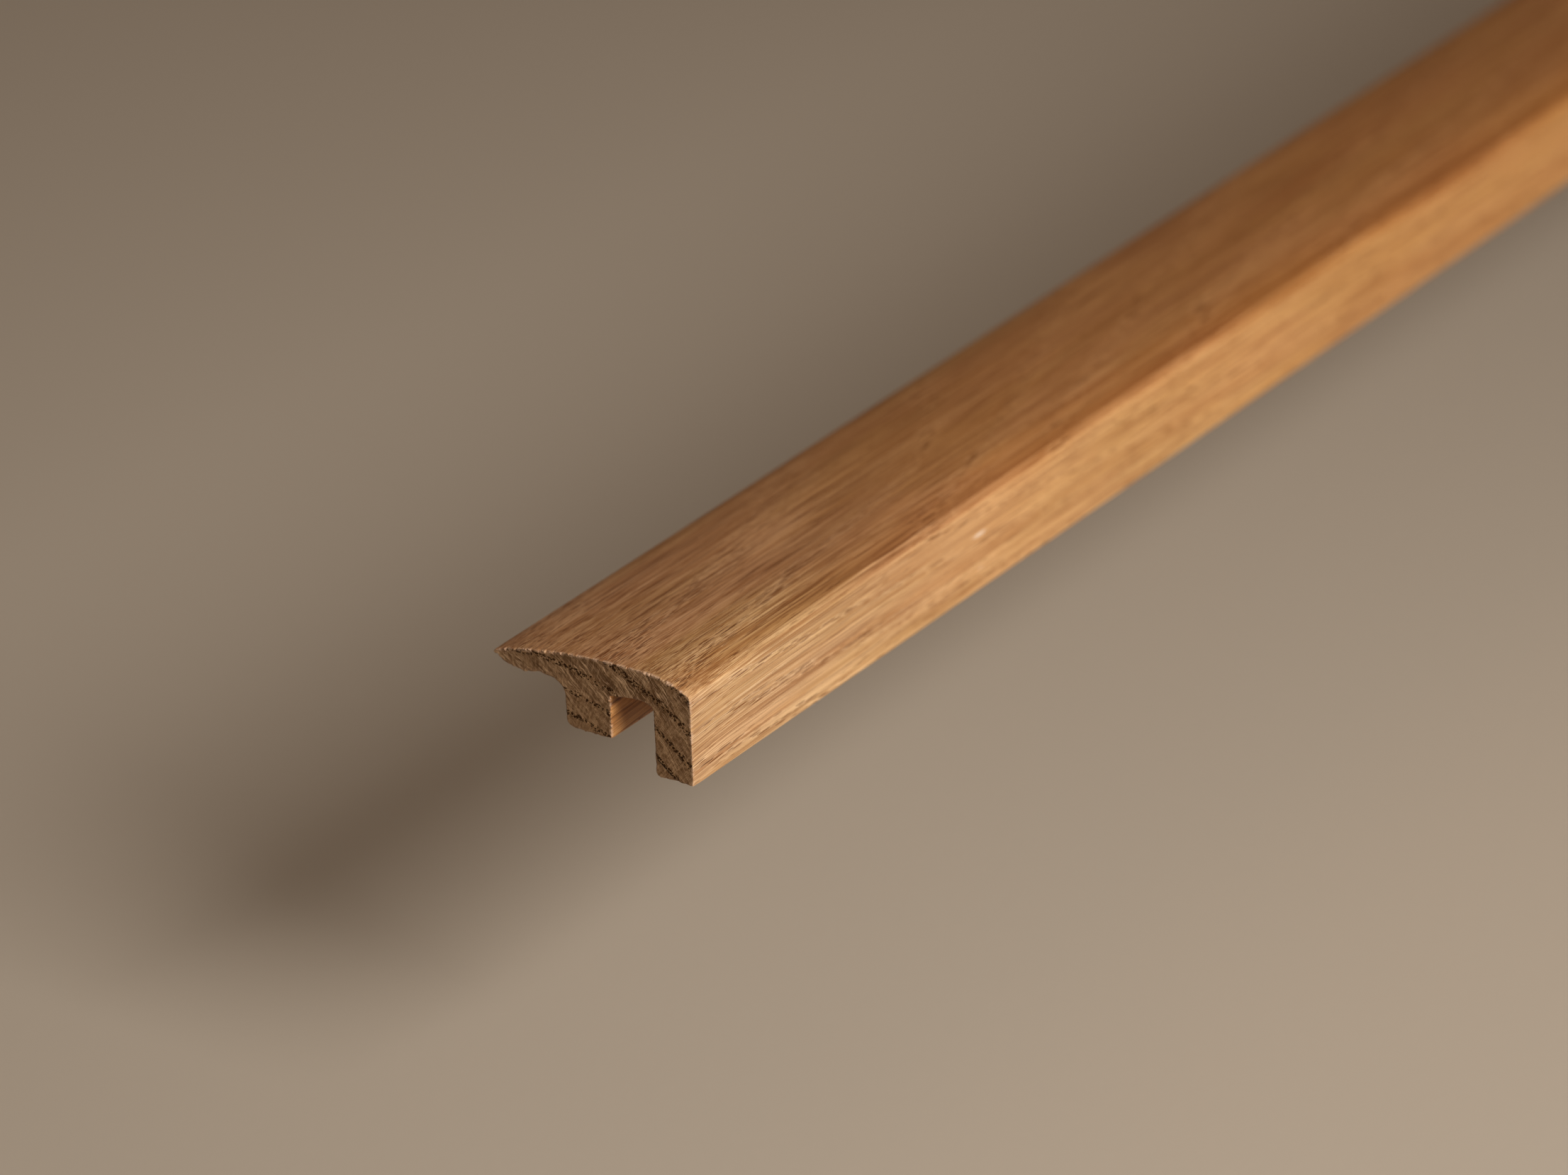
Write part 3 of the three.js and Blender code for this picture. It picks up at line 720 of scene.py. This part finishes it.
# ------------------------------------------------------------------ metal and nylon
def aluminium_material():
    """Satin extruded aluminium: drawing lines along the length, a little cloudiness and handling marks."""
    g = Graph("rail_aluminium")
    P = g.scale(g.position(), (1000.0, 1000.0, 1000.0))
    x, y, z = g.xyz(P)
    die = g.noise(g.vec(g.mul(x, 7.0), g.mul(y, 0.012), g.mul(z, 7.0)), 1.0, 3.0, 0.65)
    fine = g.noise(g.vec(g.mul(x, 26.0), g.mul(y, 0.35), g.mul(z, 26.0)), 1.0, 2.0, 0.6)
    cloud = g.noise(g.vec(g.mul(x, 0.11), g.mul(y, 0.03), g.mul(z, 0.11)), 1.0, 3.0, 0.55)
    pits, pc = g.voronoi(g.vec(g.mul(x, 1.1), g.mul(y, 0.7), g.mul(z, 1.1)))
    pr, pg, pb = g.xyz(pc)
    pit = g.mul(g.step(pits, 0.05, 0.14, 1.0, 0.0), g.step(pr, 0.80, 0.84))
    scratch, sc = g.voronoi(g.vec(g.mul(g.plus(x, g.mul(y, 0.14)), 2.2), g.mul(y, 0.085), g.mul(z, 2.2)))
    qr, qg, qb = g.xyz(sc)
    mark = g.mul(g.step(scratch, 0.03, 0.09, 1.0, 0.0), g.step(qr, 0.72, 0.76))
    col = g.mix(g.step(cloud, 0.35, 0.65), (0.560, 0.570, 0.580), (0.680, 0.685, 0.690))
    col = g.mix(g.mul(g.step(die, 0.45, 0.62), 0.45), col, (0.450, 0.455, 0.465))
    col = g.mix(g.mul(g.step(die, 0.44, 0.34), 0.35), col, (0.780, 0.785, 0.790))
    col = g.mix(g.mul(pit, 0.6), col, (0.300, 0.295, 0.290))
    col = g.mix(g.mul(mark, 0.5), col, (0.820, 0.825, 0.830))
    rough = g.plus(0.30, g.mul(cloud, 0.12), g.mul(die, 0.12), g.mul(pit, 0.2))
    h = g.plus(g.mul(die, 0.8), g.mul(fine, 0.35), g.mul(pit, -0.8), g.mul(mark, -0.5))
    g.principled(Base_Color=col, Metallic=1.0, Roughness=rough, Normal=g.bump(g.mul(h, 0.00002), 1.0, 1.0), Anisotropic=0.4)
    return g.mat


def steel_material():
    """Zinc-plated steel, passivated: silver with yellow-blue drifts, duller low in the thread."""
    g = Graph("screw_zinc")
    P = g.scale(g.position(), (1000.0, 1000.0, 1000.0))
    x, y, z = g.xyz(P)
    drift = g.noise(g.scale(P, (0.55, 0.10, 0.40)), 1.0, 3.0, 0.6)
    spangle, sc = g.voronoi(g.scale(P, (2.6, 2.6, 2.6)))
    sr, sg, sb = g.xyz(sc)
    grain = g.noise(g.scale(P, (9.0, 9.0, 9.0)), 1.0, 3.0, 0.65)
    lathe = g.noise(g.vec(0.0, 0.0, g.mul(z, 14.0)), 1.0, 2.0, 0.6)
    col = g.ramp(drift, [(0.30, (0.580, 0.600, 0.640)), (0.46, (0.690, 0.690, 0.680)), (0.58, (0.700, 0.660, 0.540)), (0.72, (0.600, 0.560, 0.500))])
    col = g.mix(g.mul(sr, 0.18), col, (0.500, 0.510, 0.530))
    col = g.mix(g.mul(g.step(grain, 0.52, 0.68), 0.40), col, (0.340, 0.335, 0.330))
    low = g.step(z, -1.0, 1.4, 0.55, 0.0)
    col = g.mix(g.mul(low, g.step(grain, 0.40, 0.60)), col, (0.400, 0.380, 0.340))
    rough = g.plus(0.24, g.mul(grain, 0.22), g.mul(sg, 0.06))
    h = g.plus(g.mul(grain, 0.6), g.mul(lathe, 0.35))
    g.principled(Base_Color=col, Metallic=1.0, Roughness=rough, Normal=g.bump(g.mul(h, 0.000018), 1.0, 1.0))
    return g.mat


def nylon_material():
    """Moulded grey nylon: slightly translucent, fine eroded-mould grain and paler flow lines."""
    g = Graph("plug_nylon")
    P = g.scale(g.position(), (1000.0, 1000.0, 1000.0))
    x, y, z = g.xyz(P)
    flow = g.noise(g.scale(P, (0.9, 0.9, 0.22)), 1.0, 3.0, 0.6)
    grain = g.noise(g.scale(P, (7.5, 7.5, 7.5)), 1.0, 3.0, 0.6)
    speck, sc = g.voronoi(g.scale(P, (1.7, 1.7, 1.7)))
    sr, sg, sb = g.xyz(sc)
    dot = g.mul(g.step(speck, 0.08, 0.18, 1.0, 0.0), g.step(sr, 0.78, 0.82))
    col = g.mix(g.step(flow, 0.36, 0.64), (0.300, 0.322, 0.335), (0.365, 0.385, 0.395))
    col = g.mix(g.mul(g.step(grain, 0.50, 0.70), 0.35), col, (0.240, 0.256, 0.266))
    col = g.mix(g.mul(dot, 0.5), col, (0.190, 0.200, 0.205))
    top = g.step(z, -1.4, -0.3, 0.0, 0.3)
    col = g.mix(top, col, (0.430, 0.445, 0.450))
    rough = g.plus(0.46, g.mul(grain, 0.16))
    g.principled(
        Base_Color=col, Roughness=rough, Subsurface_Weight=0.15, Subsurface_Scale=0.001,
        Normal=g.bump(g.mul(g.plus(grain, g.mul(dot, -0.6)), 0.00003), 1.0, 1.0),
    )
    return g.mat


def fillet(pts, radii, n=4):
    """Rounds the corners of a closed outline: each corner gets a short curve tangent to both sides."""
    out = []
    m = len(pts)
    for i in range(m):
        a, b, c = (np.array(pts[(i + k) % m], float) for k in (-1, 0, 1))
        r = radii[i]
        la, lc = np.linalg.norm(a - b), np.linalg.norm(c - b)
        r = min(r, la * 0.45, lc * 0.45)
        if r < 0.02:
            out.append(tuple(b))
            continue
        p, q = b + (a - b) / la * r, b + (c - b) / lc * r
        for k in range(n + 1):
            t = k / n
            w = (1 - t) ** 2 * p + 2 * t * (1 - t) * b + t * t * q
            out.append(tuple(w))
    return out


def finish_mesh(name, bm, material, angle=35.0):
    bmesh.ops.recalc_face_normals(bm, faces=bm.faces)
    mesh = bpy.data.meshes.new(name)
    bm.to_mesh(mesh)
    bm.free()
    for p in mesh.polygons:
        p.use_smooth = True
    mesh.set_sharp_from_angle(angle=math.radians(angle))
    o = bpy.data.objects.new(name, mesh)
    scene.collection.objects.link(o)
    mesh.materials.append(material)
    return o


def cut(target, cutter):
    """target minus cutter, applied."""
    mod = target.modifiers.new("cut", "BOOLEAN")
    mod.operation = "DIFFERENCE"
    mod.solver = "EXACT"
    mod.object = cutter
    bpy.context.view_layer.update()
    done = bpy.data.meshes.new_from_object(target.evaluated_get(bpy.context.evaluated_depsgraph_get()))
    target.modifiers.clear()
    old = target.data
    name = old.name
    target.data = done
    bpy.data.meshes.remove(old)
    done.name = name
    data = cutter.data
    bpy.data.objects.remove(cutter)
    bpy.data.meshes.remove(data)


SCREW_X = -10.8
SCREW_Y = [(i - 2.5) * 150.0 for i in range(6)]


def rail_outline():
    """The extrusion's section: flange, two barbed fins, rounded where the die rounds them."""
    c, r = [], []

    def at(x, z, radius):
        c.append((x, z))
        r.append(radius)

    at(-4.9, 0.004, 0.05)
    at(4.9, 0.004, 0.18)
    at(4.9, 1.84, 0.22)
    at(4.55, 2.0, 0.12)
    at(4.3, 2.0, 0.20)
    at(4.3, 4.1, 0.20)
    for i in range(4):
        at(4.9, 4.4 + 2.0 * i, 0.10)
        at(4.3, 6.1 + 2.0 * i, 0.14)
    at(3.85, 13.0, 0.28)
    at(3.15, 13.0, 0.28)
    at(2.9, 12.7, 0.12)
    at(2.9, 2.0, 0.55)
    at(-2.9, 2.0, 0.55)
    at(-2.9, 12.7, 0.12)
    at(-3.15, 13.0, 0.28)
    at(-3.85, 13.0, 0.28)
    for i in reversed(range(4)):
        at(-4.3, 6.1 + 2.0 * i, 0.14)
        at(-4.9, 4.4 + 2.0 * i, 0.10)
    at(-4.3, 4.1, 0.20)
    at(-4.3, 2.0, 0.30)
    at(-17.8, 2.0, 0.35)
    at(-19.0, 0.9, 0.25)
    at(-19.0, 0.004, 0.14)
    at(-15.4, 0.004, 0.10)
    at(-15.1, 0.3, 0.10)
    at(-5.2, 0.3, 0.10)
    return fillet(c, r)


def build_rail(material):
    pts = rail_outline()
    # drawing lines: split the long flats and lift every second split by a hair
    rng = np.random.default_rng(3)
    dense = []
    for i, a in enumerate(pts):
        b = pts[(i + 1) % len(pts)]
        a, b = np.array(a), np.array(b)
        d = np.linalg.norm(b - a)
        dense.append(tuple(a))
        k = int(d / 0.42)
        if k > 2:
            nrm = np.array(((b - a)[1], -(b - a)[0])) / d
            for j in range(1, k):
                depth = rng.uniform(0.0, 0.012) if j % 2 else 0.0
                dense.append(tuple(a + (b - a) * j / k - nrm * depth))
    pts = dense
    n = len(pts)
    bm = bmesh.new()
    mid = np.mean(pts, axis=0)
    ys = [-425.0, -424.85, -424.0, -212.0, 0.0, 212.0, 424.0, 424.85, 425.0]
    rings = []
    for y in ys:
        edge = abs(y) > 424.9
        ring = []
        for i, (x, z) in enumerate(pts):
            if edge:  # the saw leaves a small worn edge round each end
                a, b = np.array(pts[i - 1]), np.array(pts[(i + 1) % n])
                t = (b - a) / (np.linalg.norm(b - a) + 1e-9)
                x, z = x - t[1] * 0.05, z + t[0] * 0.05
            ring.append(bm.verts.new((x * MM, y * MM, z * MM)))
        rings.append(ring)
    for a, b in zip(rings, rings[1:]):
        for i in range(n):
            j = (i + 1) % n
            bm.faces.new((a[i], a[j], b[j], b[i]))
    bm.faces.new(rings[0])
    bm.faces.new(rings[-1])
    bmesh.ops.triangulate(bm, faces=[f for f in bm.faces if len(f.verts) > 4])
    rail = finish_mesh("aluminium_rail", bm, material, 38.0)

    # six countersunk holes, each with a slight break at its upper edge
    bm = bmesh.new()
    prof = [(0.0, -2.0), (1.78, -2.0), (1.75, 0.05), (1.75, 0.40), (3.20, 1.86), (3.34, 1.96), (3.48, 2.06), (3.48, 4.0), (0.0, 4.0)]
    seg = 56
    for y in SCREW_Y:
        prev = None
        for r, z in prof:
            if r == 0.0:
                row = [bm.verts.new((SCREW_X * MM, y * MM, z * MM))]
            else:
                row = [bm.verts.new(((SCREW_X + r * math.cos(2 * math.pi * k / seg)) * MM, (y + r * math.sin(2 * math.pi * k / seg)) * MM, z * MM)) for k in range(seg)]
            if prev is not None:
                for k in range(seg):
                    j = (k + 1) % seg
                    if len(prev) == 1:
                        bm.faces.new((prev[0], row[j], row[k]))
                    elif len(row) == 1:
                        bm.faces.new((prev[k], prev[j], row[0]))
                    else:
                        bm.faces.new((prev[k], prev[j], row[j], row[k]))
            prev = row
    cutter = finish_mesh("hole_cutter", bm, material)
    cut(rail, cutter)
    rail.data.set_sharp_from_angle(angle=math.radians(38))
    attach(rail, "floor_fixings")
    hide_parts("fixing_rail")
    return rail


def build_screw(i, y, material):
    """Countersunk wood screw: rolled helical thread on a thin core, flat-bottomed cross recess in the head."""
    seg = 60
    pitch, core, crest = 1.32, 1.02, 1.49
    turn = math.radians(17.0 + 61.0 * i)
    bm = bmesh.new()
    top = 1.95
    th = 2 * math.pi * np.arange(seg) / seg

    def smooth(t):
        t = np.clip(t, 0, 1)
        return t * t * (3 - 2 * t)

    rows = []
    # point and thread
    zs = list(np.linspace(-17.9, -14.4, 34)) + list(np.linspace(-14.3, -2.2, 104))
    for z in zs:
        taper = smooth((z + 18.0) / 3.9) ** 0.8
        c = core * taper + 0.02
        ph = np.mod((z - 0.4) / pitch - (th + turn) / (2 * math.pi), 1.0)
        d = np.abs(ph - 0.5) * 2.0  # 0 on the crest
        ridge = np.clip(1.0 - d / 0.62, 0, 1) ** 1.15
        fade = smooth((-1.9 - z) / 1.5)
        r = c + (crest - core) * ridge * fade * (0.30 + 0.70 * taper) + (1.24 - core) * (1 - fade)
        rows.append((np.minimum(r, 1.49), np.full(seg, z)))
    # plain shank, underside of the head, worn rim
    for r, z in [(1.25, -1.9), (1.25, -0.6), (1.27, 0.10), (1.33, 0.30), (1.52, 0.42), (1.90, 0.80), (2.35, 1.24), (2.72, 1.60), (2.82, 1.71), (2.85, 1.79), (2.85, 1.86), (2.82, 1.92), (2.75, top - 0.005)]:
        rows.append((np.full(seg, r), np.full(seg, z)))
    # head face with the cross recess
    for r in list(np.linspace(2.6, 1.55, 6)) + list(np.linspace(1.46, 0.10, 20)):
        x, yy = r * np.cos(th), r * np.sin(th)
        deep = np.zeros(seg)
        for a in (turn, turn + math.pi / 2):
            along = np.abs(x * math.cos(a) + yy * math.sin(a))
            off = np.abs(-x * math.sin(a) + yy * math.cos(a))
            half = 0.24 + 0.05 * (1.5 - along) / 1.5
            wall = np.clip((half - off) / 0.09, 0, 1)
            run = np.clip((1.44 - along) / 0.62, 0, 1)
            deep = np.maximum(deep, wall * run * 1.15)
        dish = 0.03 * smooth((2.6 - r) / 1.2)
        rows.append((np.full(seg, r), top - dish - deep))
    grid = []
    for r, z in rows:
        grid.append([bm.verts.new(((SCREW_X + r[k] * math.cos(th[k])) * MM, (y + r[k] * math.sin(th[k])) * MM, z[k] * MM)) for k in range(seg)])
    for a, b in zip(grid, grid[1:]):
        for k in range(seg):
            j = (k + 1) % seg
            bm.faces.new((a[k], a[j], b[j], b[k]))
    tip = bm.verts.new((SCREW_X * MM, y * MM, -18.0 * MM))
    z0 = float(np.mean(rows[-1][1]))
    hub = bm.verts.new((SCREW_X * MM, y * MM, z0 * MM))
    for k in range(seg):
        j = (k + 1) % seg
        bm.faces.new((tip, grid[0][j], grid[0][k]))
        bm.faces.new((hub, grid[-1][k], grid[-1][j]))
    o = finish_mesh(f"wood_screw_{i + 1}", bm, material, 50.0)
    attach(o, "floor_fixings")
    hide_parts(f"rail_screw_{i + 1}")
    return o


def build_plug(i, y, material):
    """Ribbed nylon plug, split up from its foot so that the screw can spread it."""
    seg = 56
    foot, top = -20.3, -0.3
    bm = bmesh.new()
    prof = [(1.75, -0.42), (1.87, -0.31), (2.0, top), (2.3, top), (2.44, -0.36), (2.5, -0.52), (2.5, -1.6), (2.46, -1.8), (2.26, -2.2), (2.22, -2.5)]
    # saw-tooth ribs, each steep above and sloping below
    z = -4.2
    while z > foot + 3.4:
        prof += [(2.24, z + 0.55), (2.45, z + 0.12), (2.5, z), (2.48, z - 0.2), (2.34, z - 1.1), (2.22, z - 2.0)]
        z -= 2.9
    prof += [(2.22, foot + 2.3), (2.40, foot + 1.5), (2.44, foot + 1.1), (2.30, foot + 0.4), (2.14, foot + 0.06), (2.06, foot), (1.92, foot), (1.80, foot + 0.14), (1.75, foot + 0.5)]
    th = 2 * math.pi * np.arange(seg) / seg
    grid = []
    for r, zz in prof:
        row = []
        for t in th:
            rr = r
            if r > 2.1 and zz < -2.0:  # two flat-topped keys along the sides stop it turning, and a shallow flute
                key = abs(math.sin(t)) > 0.975
                flute = math.exp(-((abs(math.cos(t)) - 0.72) / 0.10) ** 2)
                rr = max(rr, 2.42) if key else rr - 0.09 * flute
            row.append(bm.verts.new(((SCREW_X + rr * math.cos(t)) * MM, (y + rr * math.sin(t)) * MM, zz * MM)))
        grid.append(row)
    grid.append(grid[0])
    for a, b in zip(grid, grid[1:]):
        for k in range(seg):
            j = (k + 1) % seg
            bm.faces.new((a[k], a[j], b[j], b[k]))
    o = finish_mesh(f"nylon_plug_{i + 1}", bm, material, 40.0)
    # the split: a thin slot with a rounded head
    bm = bmesh.new()
    side = []
    for k in range(13):
        a = math.pi * k / 12
        side.append((0.4 * math.cos(a), foot + 12.1 + 0.4 * math.sin(a)))
    side += [(-0.4, foot - 1.0), (0.4, foot - 1.0)]
    lo = [bm.verts.new(((SCREW_X - 4.0) * MM, (y + a) * MM, b * MM)) for a, b in side]
    hi = [bm.verts.new(((SCREW_X + 4.0) * MM, (y + a) * MM, b * MM)) for a, b in side]
    for k in range(len(side)):
        j = (k + 1) % len(side)
        bm.faces.new((lo[k], lo[j], hi[j], hi[k]))
    bm.faces.new(lo)
    bm.faces.new(hi)
    cutter = finish_mesh("slot_cutter", bm, material)
    cut(o, cutter)
    o.data.set_sharp_from_angle(angle=math.radians(40))
    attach(o, "floor_fixings")
    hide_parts(f"wall_plug_{i + 1}")
    return o


aluminium, zinc, nylon = aluminium_material(), steel_material(), nylon_material()
rail = build_rail(aluminium)
screws = [build_screw(i, y, zinc) for i, y in enumerate(SCREW_Y)]
plugs = [build_plug(i, y, nylon) for i, y in enumerate(SCREW_Y)]

# ------------------------------------------------------------------ stage
FLOOR_Z = -0.095
BACKDROP = (0.290, 0.236, 0.184)


def floor_material():
    """Pale floor near the strip; further off it runs into the even backdrop, as a studio sweep does."""
    g = Graph("studio_floor")
    P = g.position()
    n = g.noise(g.scale(P, (1.3, 1.3, 1.3)), 1.0, 2.0, 0.5)
    fine = g.noise(g.scale(P, (260.0, 260.0, 260.0)), 1.0, 2.0, 0.5)
    col = g.mix(n, (0.625, 0.557, 0.474), (0.655, 0.587, 0.504))
    p = g.principled(Base_Color=col, Roughness=0.8, Normal=g.bump(fine, 0.0001, 0.25), Specular_IOR_Level=0.2)
    back = g.add("ShaderNodeNewGeometry").outputs["Backfacing"]
    path = g.add("ShaderNodeLightPath").outputs["Is Camera Ray"]
    clear = g.add("ShaderNodeBsdfTransparent")
    mixer = g.add("ShaderNodeMixShader")
    g.put(mixer.inputs[0], g.mul(back, path))
    g.tree.links.new(p.outputs[0], mixer.inputs[1])
    g.tree.links.new(clear.outputs[0], mixer.inputs[2])
    fx, fy, _ = g.xyz(P)
    ex = g.m("MAXIMUM", g.sub(g.m("ABSOLUTE", g.plus(fx, 0.20)), 0.38), 0.0)
    ey = g.m("MAXIMUM", g.sub(g.m("ABSOLUTE", g.plus(fy, 0.14)), 0.40), 0.0)
    off = g.m("SQRT", g.plus(g.mul(ex, ex), g.mul(ey, ey)))
    sweep = g.mul(g.step(off, 0.0, 0.46), path, g.sub(1.0, back))
    even = g.add("ShaderNodeEmission")
    g.put(even.inputs[0], BACKDROP)
    whole = g.add("ShaderNodeMixShader")
    g.put(whole.inputs[0], sweep)
    g.tree.links.new(mixer.outputs[0], whole.inputs[1])
    g.tree.links.new(even.outputs[0], whole.inputs[2])
    out = [k for k in g.tree.nodes if k.type == "OUTPUT_MATERIAL"][0]
    g.tree.links.new(whole.outputs[0], out.inputs[0])
    return g.mat


bm = bmesh.new()
bmesh.ops.create_grid(bm, x_segments=24, y_segments=24, size=14.0)
mesh = bpy.data.meshes.new("studio_floor")
bm.to_mesh(mesh)
bm.free()
floor = bpy.data.objects.new("studio_floor", mesh)
floor.location = (0, 0, FLOOR_Z)
scene.collection.objects.link(floor)
mesh.materials.append(floor_material())


def area(name, at, target, size, power, colour, spread=180.0):
    data = bpy.data.lights.new(name, "AREA")
    data.shape = "RECTANGLE"
    data.size, data.size_y = size
    data.energy = power
    data.color = colour
    data.spread = math.radians(spread)
    o = bpy.data.objects.new(name, data)
    o.location = at
    o.rotation_mode = "QUATERNION"
    o.rotation_quaternion = (Vector(target) - Vector(at)).to_track_quat("-Z", "Y")
    o.visible_camera = False
    scene.collection.objects.link(o)
    return o


area("key_softbox", (1.22, -0.71, 0.87), (0.0, -0.38, 0.0), (0.62, 0.62), 6.3, (1.0, 0.93, 0.84), 100.0)
area("low_side", (1.20, -0.30, 0.03), (0.0, -0.30, 0.0), (0.70, 0.24), 1.30, (1.0, 0.91, 0.80), 120.0)
area("overhead", (-0.15, -0.35, 1.55), (-0.05, -0.30, 0.0), (1.6, 1.8), 0.45, (1.0, 0.78, 0.56), 140.0)
# a soft fill from behind opens up the shaded sides of the strip only: it leaves no sheen, and the floor keeps its shadow
fill = area("back_fill", (-1.30, 0.95, 0.30), (-0.02, 0.05, 0.0), (1.2, 0.5), 2.0, (1.0, 0.86, 0.70), 150.0)
fill.visible_glossy = False
strip_only = bpy.data.collections.new("strip_only")
for o in [moulding, rail] + screws + plugs:
    strip_only.objects.link(o)
fill.light_linking.receiver_collection = strip_only

world = bpy.data.worlds.new("studio")
scene.world = world
world.use_nodes = True
bg = world.node_tree.nodes["Background"]
bg.inputs[0].default_value = (1.0, 0.62, 0.36, 1.0)
bg.inputs[1].default_value = 0.075
# the camera sees the backdrop where the floor ends
tree = world.node_tree
seen = tree.nodes.new("ShaderNodeBackground")
seen.inputs[0].default_value = BACKDROP + (1.0,)
seen.inputs[1].default_value = 1.0
rays = tree.nodes.new("ShaderNodeLightPath")
either = tree.nodes.new("ShaderNodeMixShader")
tree.links.new(rays.outputs["Is Camera Ray"], either.inputs[0])
tree.links.new(bg.outputs[0], either.inputs[1])
tree.links.new(seen.outputs[0], either.inputs[2])
world_out = [k for k in tree.nodes if k.type == "OUTPUT_WORLD"][0]
tree.links.new(either.outputs[0], world_out.inputs[0])

# ------------------------------------------------------------------ camera
az, el, roll = math.radians(35.42), math.radians(25.94), math.radians(-2.07)
FOCAL, DEPTH = 9486.0, 1.317
back = Vector((math.sin(az) * math.cos(el), -math.cos(az) * math.cos(el), math.sin(el)))
right = Vector((math.cos(az), math.sin(az), 0.0))
up = back.cross(right)
r2 = right * math.cos(roll) + up * math.sin(roll)
u2 = up * math.cos(roll) - right * math.sin(roll)
q = Vector(((978.3 - 1106.0) / FOCAL * DEPTH, -(1111.7 - 829.0) / FOCAL * DEPTH, -DEPTH))
corner = Vector((0.0142, -0.45, 0.0))
cam_data = bpy.data.cameras.new("camera")
cam = bpy.data.objects.new("camera", cam_data)
scene.collection.objects.link(cam)
rot = Matrix((r2, u2, back)).transposed()
cam.matrix_world = Matrix.Translation(corner - rot @ q) @ rot.to_4x4()
cam_data.sensor_width = 36.0
cam_data.lens = FOCAL / 2212.0 * 36.0
cam_data.clip_start, cam_data.clip_end = 0.05, 60.0
scene.camera = cam
focus = bpy.data.objects.new("focus_point", None)
focus.location = (0.004, -0.45, 0.014)
scene.collection.objects.link(focus)
cam_data.dof.use_dof = True
cam_data.dof.focus_object = focus
cam_data.dof.aperture_fstop = 8.0
# the lens opens only for the close view: further off, the whole strip is sharp
drv = cam_data.dof.driver_add("aperture_fstop").driver
drv.type = "SCRIPTED"
var = drv.variables.new()
var.name = "d"
var.type = "LOC_DIFF"
var.targets[0].id = cam
var.targets[1].id = focus
drv.expression = "8.0 if d < 1.6 else 90.0"

scene.view_settings.view_transform = "Standard"
scene.view_settings.look = "None"
